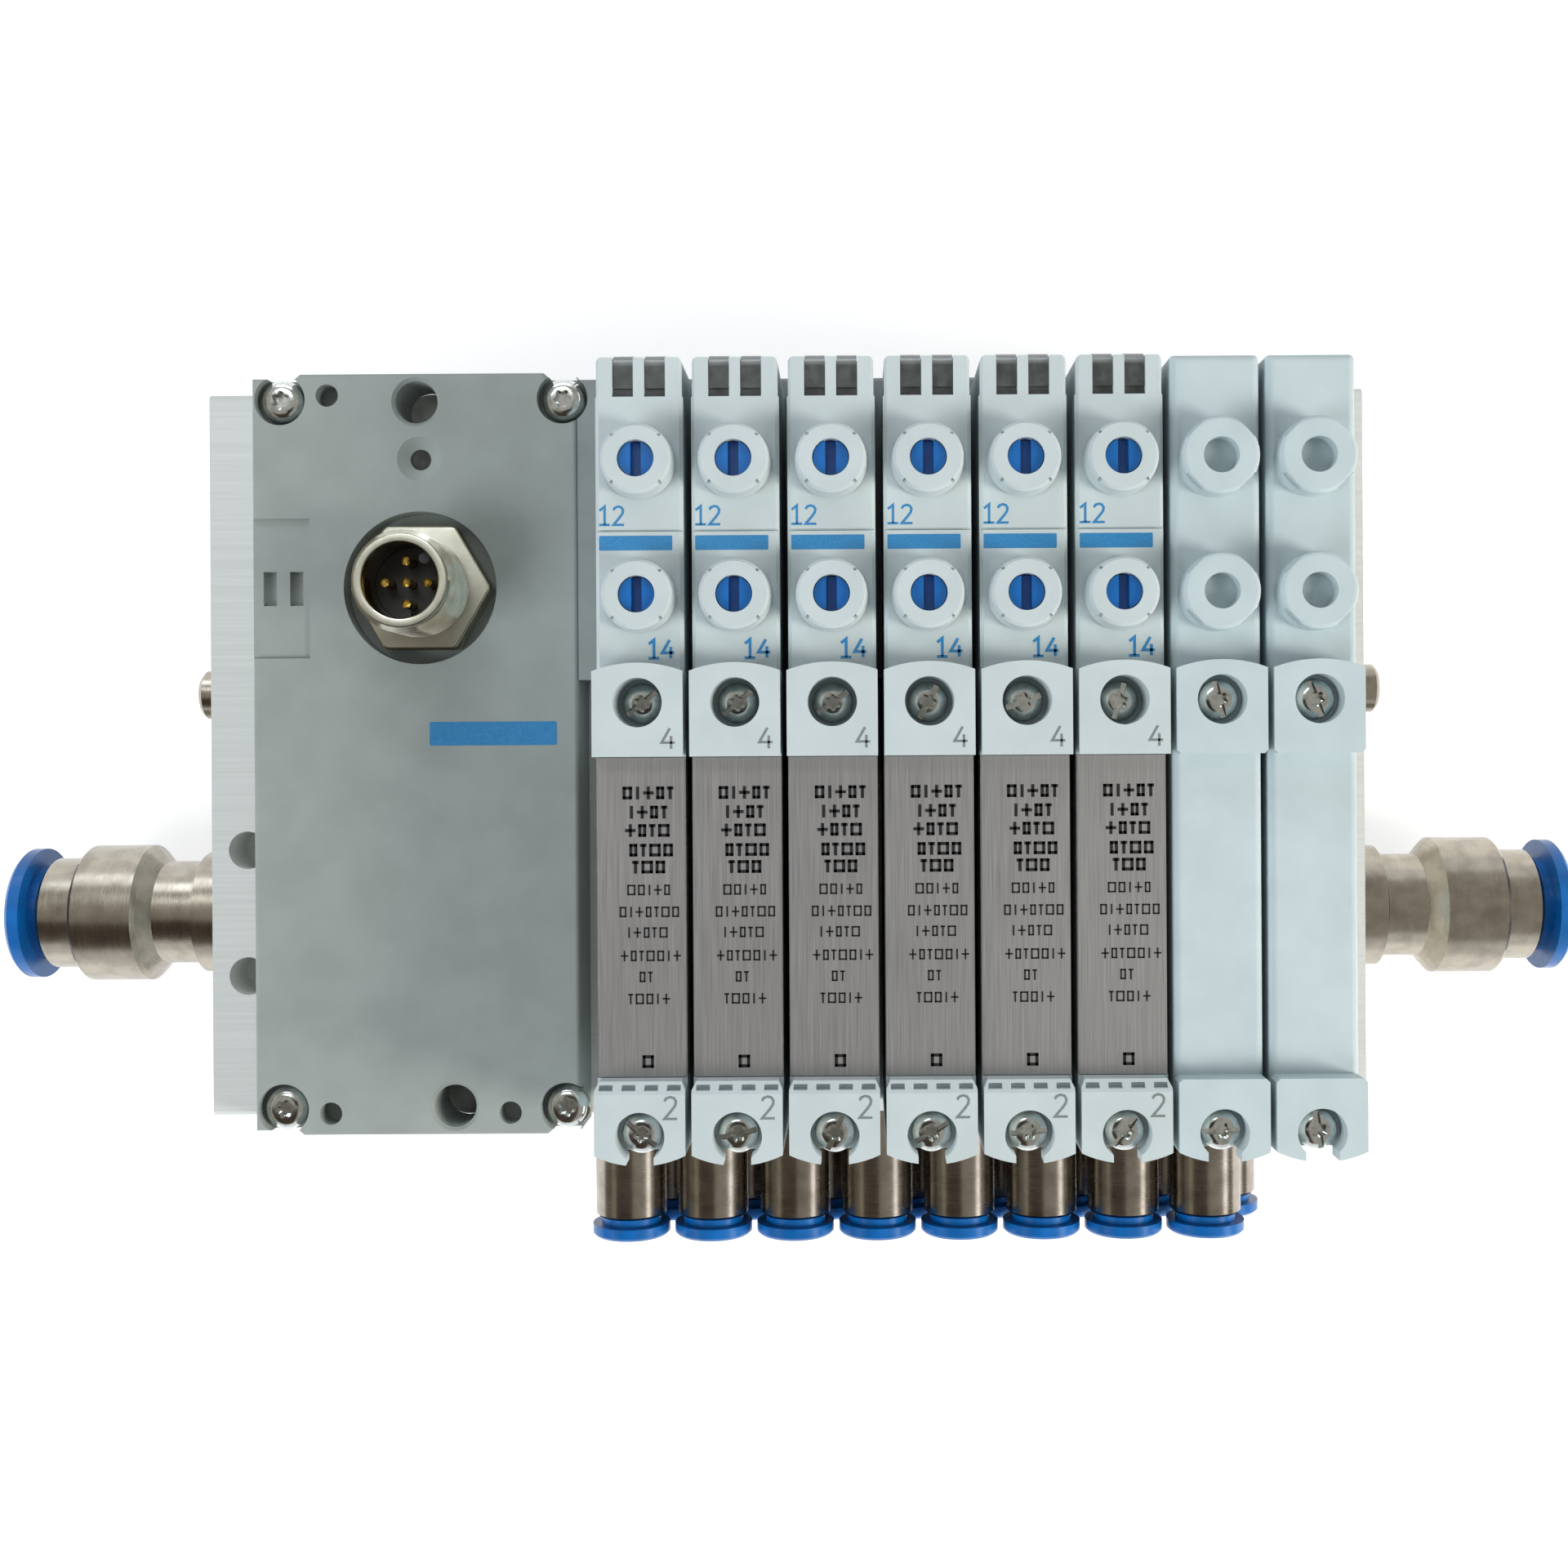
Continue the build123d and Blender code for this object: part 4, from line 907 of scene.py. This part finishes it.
# ---------------------------------------------------------------- round connector
@dataclass
class ConnectorShell:
    """The threaded shell of the round connector, turned from hexagon bar.

    Attributes:
        thread: The thread's outer diameter.
        root: The thread's root diameter.
        thread_pitch: The distance from one turn to the next.
        bore: The socket's bore.
        hexagon: The width across the hexagon's flats.
        hexagon_height: The hexagon's height.
        spigot: The depth of the spigot below the hexagon.
        lead: The plain chamfered end above the thread.
        steps: The sections in one turn of the thread.
    """

    thread: float = mm(12.0)
    root: float = mm(10.9)
    thread_pitch: float = mm(1.0)
    bore: float = mm(8.84)
    hexagon: float = mm(14.8)
    hexagon_height: float = mm(3.0)
    spigot: float = mm(2.0)
    lead: float = mm(0.7)
    steps: int = 60

    def build(self) -> None:
        """Model the sleeve, the hexagon and the thread, and join them."""
        low, high = (Vector(corner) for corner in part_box("connector_shell"))
        centre = (low + high) / 2
        face, foot = high.z, low.z
        hexagon_top = foot + self.spigot + self.hexagon_height
        sleeve = self.build_sleeve(centre, foot, face)
        hexagon = self.build_hexagon(centre, foot + self.spigot, hexagon_top)
        thread = self.build_thread(centre, hexagon_top, face)
        sleeve = join([sleeve, hexagon, thread], "connector_shell_threaded")
        finish_piece(sleeve, SHELL_NICKEL)
        sleeve.data.materials.append(SHELL_FACE.material())
        for polygon in sleeve.data.polygons:
            polygon.material_index = 1 if polygon.normal.z > 0.99 else 0
        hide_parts("connector_shell")

    def build_sleeve(self, centre: Vector, foot: float, face: float) -> bpy.types.Object:
        """Model the plain tube that carries the thread."""
        height = face - foot
        sleeve = start(bpy.ops.mesh.primitive_cylinder_add, "connector_shell_threaded", vertices=72,
                       radius=self.root / 2, depth=height, location=(centre.x, centre.y, foot + height / 2))
        select_faces(sleeve, lambda middle, normal: abs(normal.z) > 0.999)
        bpy.ops.mesh.inset(thickness=(self.root - self.bore) / 2)
        bpy.ops.mesh.bridge_edge_loops()
        select_edges(sleeve, lambda a, b: min(a.z, b.z) > height / 2 - FLAT
                     and abs(a.xy.length - b.xy.length) < FLAT)
        bpy.ops.mesh.bevel(offset=mm(0.15), segments=2, affect="EDGES")
        return close_edit(sleeve)

    def build_hexagon(self, centre: Vector, bottom: float, top: float) -> bpy.types.Object:
        """Model the hexagon with its chamfered corners."""
        height = top - bottom
        corner = self.hexagon / math.sqrt(3)
        hexagon = start(bpy.ops.mesh.primitive_cylinder_add, "connector_hexagon", vertices=6,
                        radius=corner, depth=height, location=(centre.x, centre.y, bottom + height / 2))
        far = Vector(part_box("connector_shell")[1])
        wide, deep = far.x - centre.x, far.y - centre.y
        if (hexagon.dimensions.x > hexagon.dimensions.y) != (wide > deep):
            bpy.ops.mesh.select_all(action="SELECT")
            bpy.ops.transform.rotate(value=math.radians(30), orient_axis="Z",
                                     center_override=(centre.x, centre.y, bottom))
        select_edges(hexagon, lambda a, b: abs(a.z - b.z) > height / 2)
        bpy.ops.mesh.bevel(offset=mm(0.45), segments=2, affect="EDGES")
        select_edges(hexagon, lambda a, b: min(a.z, b.z) > height / 2 - FLAT)
        bpy.ops.mesh.bevel(offset=mm(0.25), segments=2, affect="EDGES")
        return close_edit(hexagon)

    def build_thread(self, centre: Vector, bottom: float, face: float) -> bpy.types.Object:
        """Model the thread as one ridge wound up the sleeve."""
        root, crest, pitch = self.root / 2 - mm(0.05), self.thread / 2, self.thread_pitch
        turns = (face - self.lead - bottom) / pitch - 0.6
        ridge = start(bpy.ops.mesh.primitive_plane_add, "connector_thread", size=pitch,
                      location=(centre.x + root, centre.y, bottom + pitch / 2))
        bpy.ops.mesh.select_all(action="SELECT")
        bpy.ops.transform.rotate(value=math.radians(90), orient_axis="X",
                                 center_override=(centre.x + root, centre.y, bottom + pitch / 2))
        bpy.ops.mesh.select_mode(type="VERT")
        mesh = bmesh.from_edit_mesh(ridge.data)
        for vertex in mesh.verts:
            outer = vertex.co.x > 0
            vertex.co.x = crest - root if outer else 0.0
            vertex.co.z = vertex.co.z * (0.12 if outer else 0.98)
        bmesh.update_edit_mesh(ridge.data)
        bpy.ops.mesh.select_all(action="SELECT")
        whole = int(turns)
        bpy.ops.mesh.spin(steps=self.steps * whole, angle=2 * math.pi * whole, center=(centre.x, centre.y, 0),
                          axis=(0, 0, 1), use_normal_flip=False)
        mesh = bmesh.from_edit_mesh(ridge.data)
        self.raise_turns(mesh)
        bmesh.update_edit_mesh(ridge.data)
        return close_edit(ridge)

    def raise_turns(self, mesh: bmesh.types.BMesh) -> None:
        """Raise each section of the wound ridge, four points each, by its share of the pitch."""
        mesh.verts.ensure_lookup_table()
        for index, vertex in enumerate(mesh.verts):
            vertex.co.z += self.thread_pitch * (index // 4) / self.steps


# ---------------------------------------------------------------- printed and moulded marks
DIGITS: dict[str, list[list[tuple[float, float]]]] = {
    "1": [[(0.06, 0.78), (0.34, 1.0), (0.34, 0.0)], [(0.04, 0.0), (0.62, 0.0)]],
    "2": [[(0.04, 0.80), (0.12, 0.93), (0.30, 1.0), (0.48, 0.95), (0.57, 0.80), (0.54, 0.62),
           (0.40, 0.42), (0.04, 0.0), (0.62, 0.0)]],
    "4": [[(0.42, 1.0), (0.02, 0.30), (0.66, 0.30)], [(0.48, 0.62), (0.48, 0.0)]],
}


@dataclass
class Numeral:
    """A plain number, drawn with strokes of even width.

    Attributes:
        text: The digits.
        height: The height of a digit.
        stroke: The width of the strokes.
        x: The left end, against the station's centre.
        y: The lower edge.
        advance: The distance from one digit to the next, as a share of the height.
    """

    text: str
    height: float
    stroke: float
    x: float
    y: float
    advance: float = 0.78

    def build(self, name: str, thickness: float) -> bpy.types.Object:
        """Make the number as a thin mesh.

        Args:
            name: The piece's name.
            thickness: How far the mark stands up.

        Returns:
            The mesh object, with its lower left corner at the origin.
        """
        strokes = []
        for index, digit in enumerate(self.text):
            for number, line in enumerate(DIGITS[digit]):
                points = [((x + index * self.advance) * self.height, y * self.height) for x, y in line]
                strokes.append(self.draw(f"{name}_{index}_{number}", points, thickness))
        return join(strokes, name)

    def draw(self, name: str, points: list[tuple[float, float]], thickness: float) -> bpy.types.Object:
        """Draw one stroke: a line pushed along its points, raised to a ribbon and thickened."""
        stroke = start(bpy.ops.mesh.primitive_plane_add, name, size=self.stroke)
        bpy.ops.mesh.select_mode(type="VERT")
        bpy.ops.mesh.select_all(action="SELECT")
        bpy.ops.mesh.merge(type="CENTER")
        bpy.ops.mesh.select_all(action="SELECT")
        bpy.ops.transform.translate(value=(*points[0], 0.0))
        for (ax, ay), (bx, by) in zip(points, points[1:]):
            bpy.ops.mesh.extrude_region_move(TRANSFORM_OT_translate={"value": (bx - ax, by - ay, 0.0)})
        bpy.ops.mesh.select_all(action="SELECT")
        bpy.ops.mesh.extrude_region_move(TRANSFORM_OT_translate={"value": (0.0, 0.0, thickness)})
        bpy.ops.object.mode_set(mode="OBJECT")
        apply_modifier(stroke, "SOLIDIFY", thickness=self.stroke, offset=0.0, use_even_offset=True)
        return stroke


@dataclass
class Marks:
    """The printed fields and numbers, and the painted shade of the moulded numbers.

    Attributes:
        layout: The places read from the frame.
        film: The thickness of the printed film.
        bar_size: The width and height of the blue field on a valve.
        bar_y: The middle of that field along Y.
        bar_shift: Its middle against the station's centre.
        housing_bar: The housing's blue field: left, lower edge, width and height.
        ring_height: The height of the override rings over the pilot housings' flat top.
        rows_y: The middles of a nameplate's rows of print, in millimetres.
        rows_width: The widths of those rows, in millimetres.
        bold_rows: The number of bold rows at the top; the last row is bold too.
        bold_height: The height of a bold sign, in millimetres.
        fine_height: The height of a fine sign, in millimetres.
        row_shift: The middle of the rows against the station's centre.
        mould_mark: The insert's round mark: its place from the axis, radius and thickness.
    """

    layout: Layout
    film: float = mm(0.02)
    bar_size: tuple[float, float] = (mm(8.0), mm(1.6))
    bar_y: float = mm(22.9)
    bar_shift: float = mm(-0.4)
    housing_bar: tuple[float, float, float, float] = (mm(-42.75), mm(1.0), mm(15.3), mm(2.85))
    ring_height: float = mm(3.4)
    rows_y: tuple[float, ...] = (-4.4, -6.5, -8.5, -10.65, -12.5, -15.0, -17.4, -19.65, -22.2, -24.5,
                                 -26.9, -33.75)
    rows_width: tuple[float, ...] = (5.4, 4.1, 4.9, 4.0, 3.4, 4.5, 6.2, 4.6, 6.0, 1.9, 4.4, 1.4)
    bold_rows: int = 5
    bold_height: float = 1.4
    fine_height: float = 1.15
    row_shift: float = mm(0.7)
    mould_mark: tuple[float, float, float, float] = (mm(2.2), mm(2.8), mm(0.65), mm(0.1))

    def field(self, name: str, width: float, height: float, corner: float) -> bpy.types.Object:
        """Model one thin printed field with rounded corners, centred on the origin."""
        field_piece = start(bpy.ops.mesh.primitive_plane_add, name, size=1.0)
        bpy.ops.mesh.select_all(action="SELECT")
        bpy.ops.transform.resize(value=(width, height, 1.0))
        bpy.ops.mesh.bevel(offset=corner, segments=3, affect="VERTICES")
        bpy.ops.mesh.select_all(action="SELECT")
        extrude_by((0, 0, self.film))
        return close_edit(field_piece)

    def build_bars(self) -> None:
        """Print the blue field on each valve and on the housing."""
        top = self.pilot_top()
        master = self.field("valve_print_bars", *self.bar_size, mm(0.12))
        bars = set_copies(master, "valve_print_bars", [
            ((x + self.bar_shift, self.bar_y, top), 0.0) for x in self.layout.valve_x])
        finish_piece(bars, BLUE_INK)
        left, low, width, height = self.housing_bar
        housing = self.field("housing_print_bar", width, height, mm(0.2))
        housing = set_copies(housing, "housing_print_bar", [
            ((left + width / 2, low + height / 2, self.layout.top("electronics_housing")), 0.0)])
        finish_piece(housing, BLUE_INK)

    def pilot_top(self) -> float:
        """Return the height of the pilot housings' flat top, one ring height under their box."""
        return self.layout.top("pilot_housings") - self.ring_height

    def build_numbers(self) -> None:
        """Print the override numbers, and paint the shade of the port numbers moulded in the end blocks."""
        top, block = self.pilot_top(), self.layout.top("end_blocks")
        for numeral, height, finish, label in (
            (Numeral("12", mm(2.0), mm(0.26), mm(-4.45), mm(24.9)), top, BLUE_INK,
             "override_number_12"),
            (Numeral("14", mm(2.0), mm(0.32), mm(0.85), mm(10.3)), top, BLUE_INK,
             "override_number_14"),
            # The port numbers are raised films in a painted shade that stands for the shade in their moulded
            # grooves.
            (Numeral("4", mm(2.2), mm(0.26), mm(2.6), mm(0.4)), block, GROOVE_PAINTED_SHADE, "port_number_4"),
            (Numeral("2", mm(2.35), mm(0.26), mm(2.6), mm(-39.4)), block, GROOVE_PAINTED_SHADE, "port_number_2"),
        ):
            mark = numeral.build(label, self.film)
            marks = set_copies(mark, label, [
                ((x + numeral.x, numeral.y, height), 0.0) for x in self.layout.valve_x])
            finish_piece(marks, finish)

    @staticmethod
    def glyph(shape: str, x: float, y: float, width: float, height: float, stroke: float
              ) -> list[tuple[float, float, float, float]]:
        """Return the bars of one simple sign that stands for a printed character.

        Args:
            shape: The sign: a bar, a cross, a tee or a frame.
            x: Its left end, in millimetres.
            y: Its middle height, in millimetres.
            width: Its width, in millimetres.
            height: Its height, in millimetres.
            stroke: The width of its lines, in millimetres.

        Returns:
            The bars, as centre x, centre y, width and height.
        """
        middle, half = x + width / 2, (height - stroke) / 2
        upright = (middle, y, stroke, height)
        if shape == "bar":
            return [upright]
        if shape == "cross":
            return [upright, (middle, y, width, stroke)]
        if shape == "tee":
            return [upright, (middle, y + half, width, stroke)]
        left, right = x + stroke / 2, x + width - stroke / 2
        return [(left, y, stroke, height), (right, y, stroke, height),
                (middle, y + half, width, stroke), (middle, y - half, width, stroke)]

    def build_rows(self) -> None:
        """Print the rows of simple signs on the nameplates."""
        top = self.layout.top("nameplates")
        marks = ((0.5, "frame"), (0.3, "bar"), (0.55, "cross"), (0.42, "frame"), (0.35, "tee"),
                 (0.6, "frame"))
        gap = 0.28
        dashes = []
        for row, (y, width) in enumerate(zip(self.rows_y, self.rows_width)):
            bold = row < self.bold_rows or row == len(self.rows_y) - 1
            height, stroke = (self.bold_height, 0.34) if bold else (self.fine_height, 0.18)
            x, step = -width / 2, row
            while x < width / 2 - 0.25:
                share, shape = marks[step % len(marks)]
                length = share * height * (1.5 if bold else 1.3)
                dashes += self.glyph(shape, x, y, length, height, stroke)
                x += length + gap
                step += 1
        pieces = []
        for index, (x, y, length, stroke) in enumerate(dashes):
            dash = self.field(f"dash_{index}", mm(length), mm(stroke), mm(0.02))
            dash.location = (mm(x) + self.row_shift, mm(y), 0)
            pieces.append(dash)
        plate = join(pieces, "nameplate_print")
        print_rows = set_copies(plate, "nameplate_print", [
            ((x, 0, top), 0.0) for x in self.layout.valve_x])
        finish_piece(print_rows, BLACK_INK)

    def build_insert_mark(self) -> None:
        """Set the small round mould mark in the face of the connector's insert."""
        centre = self.layout.centre("connector_insert")
        across, up, radius, thickness = self.mould_mark
        mark = start(bpy.ops.mesh.primitive_cylinder_add, "connector_insert_mark", vertices=32,
                     radius=radius, depth=thickness)
        select_edges(mark, lambda a, b: min(a.z, b.z) > thickness / 2 - FLAT)
        bpy.ops.mesh.bevel(offset=mm(0.04), segments=2, affect="EDGES")
        mark = set_copies(close_edit(mark), "connector_insert_mark", [
            ((centre.x + across, centre.y + up, self.layout.top("connector_insert")), 0.0)])
        finish_piece(mark, MARK_BLACK)

    def build(self) -> None:
        """Build all marks."""
        self.build_insert_mark()
        self.build_bars()
        self.build_numbers()
        self.build_rows()


# ---------------------------------------------------------------- finishes of the frame's nodes
def dress_nodes() -> None:
    """Give every node of the frame its finish."""
    for name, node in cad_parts.items():
        finish = NODE_FINISHES.get(name)
        for prefix, own in PREFIX_FINISHES.items():
            if name.startswith(prefix):
                finish = own
        node.data.materials.clear()
        node.data.materials.append(finish.material())
        log.info("%s: %s", name, finish.name)


def main() -> None:
    """Dress the island and set up the studio."""
    logging.basicConfig(level=logging.INFO, format="%(name)s: %(message)s")
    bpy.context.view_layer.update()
    layout = Layout()
    dress_nodes()
    ScrewSet(layout).build()
    ConnectorShell().build()
    Marks(layout).build()
    Studio().build()


if __name__ == "__main__":
    main()
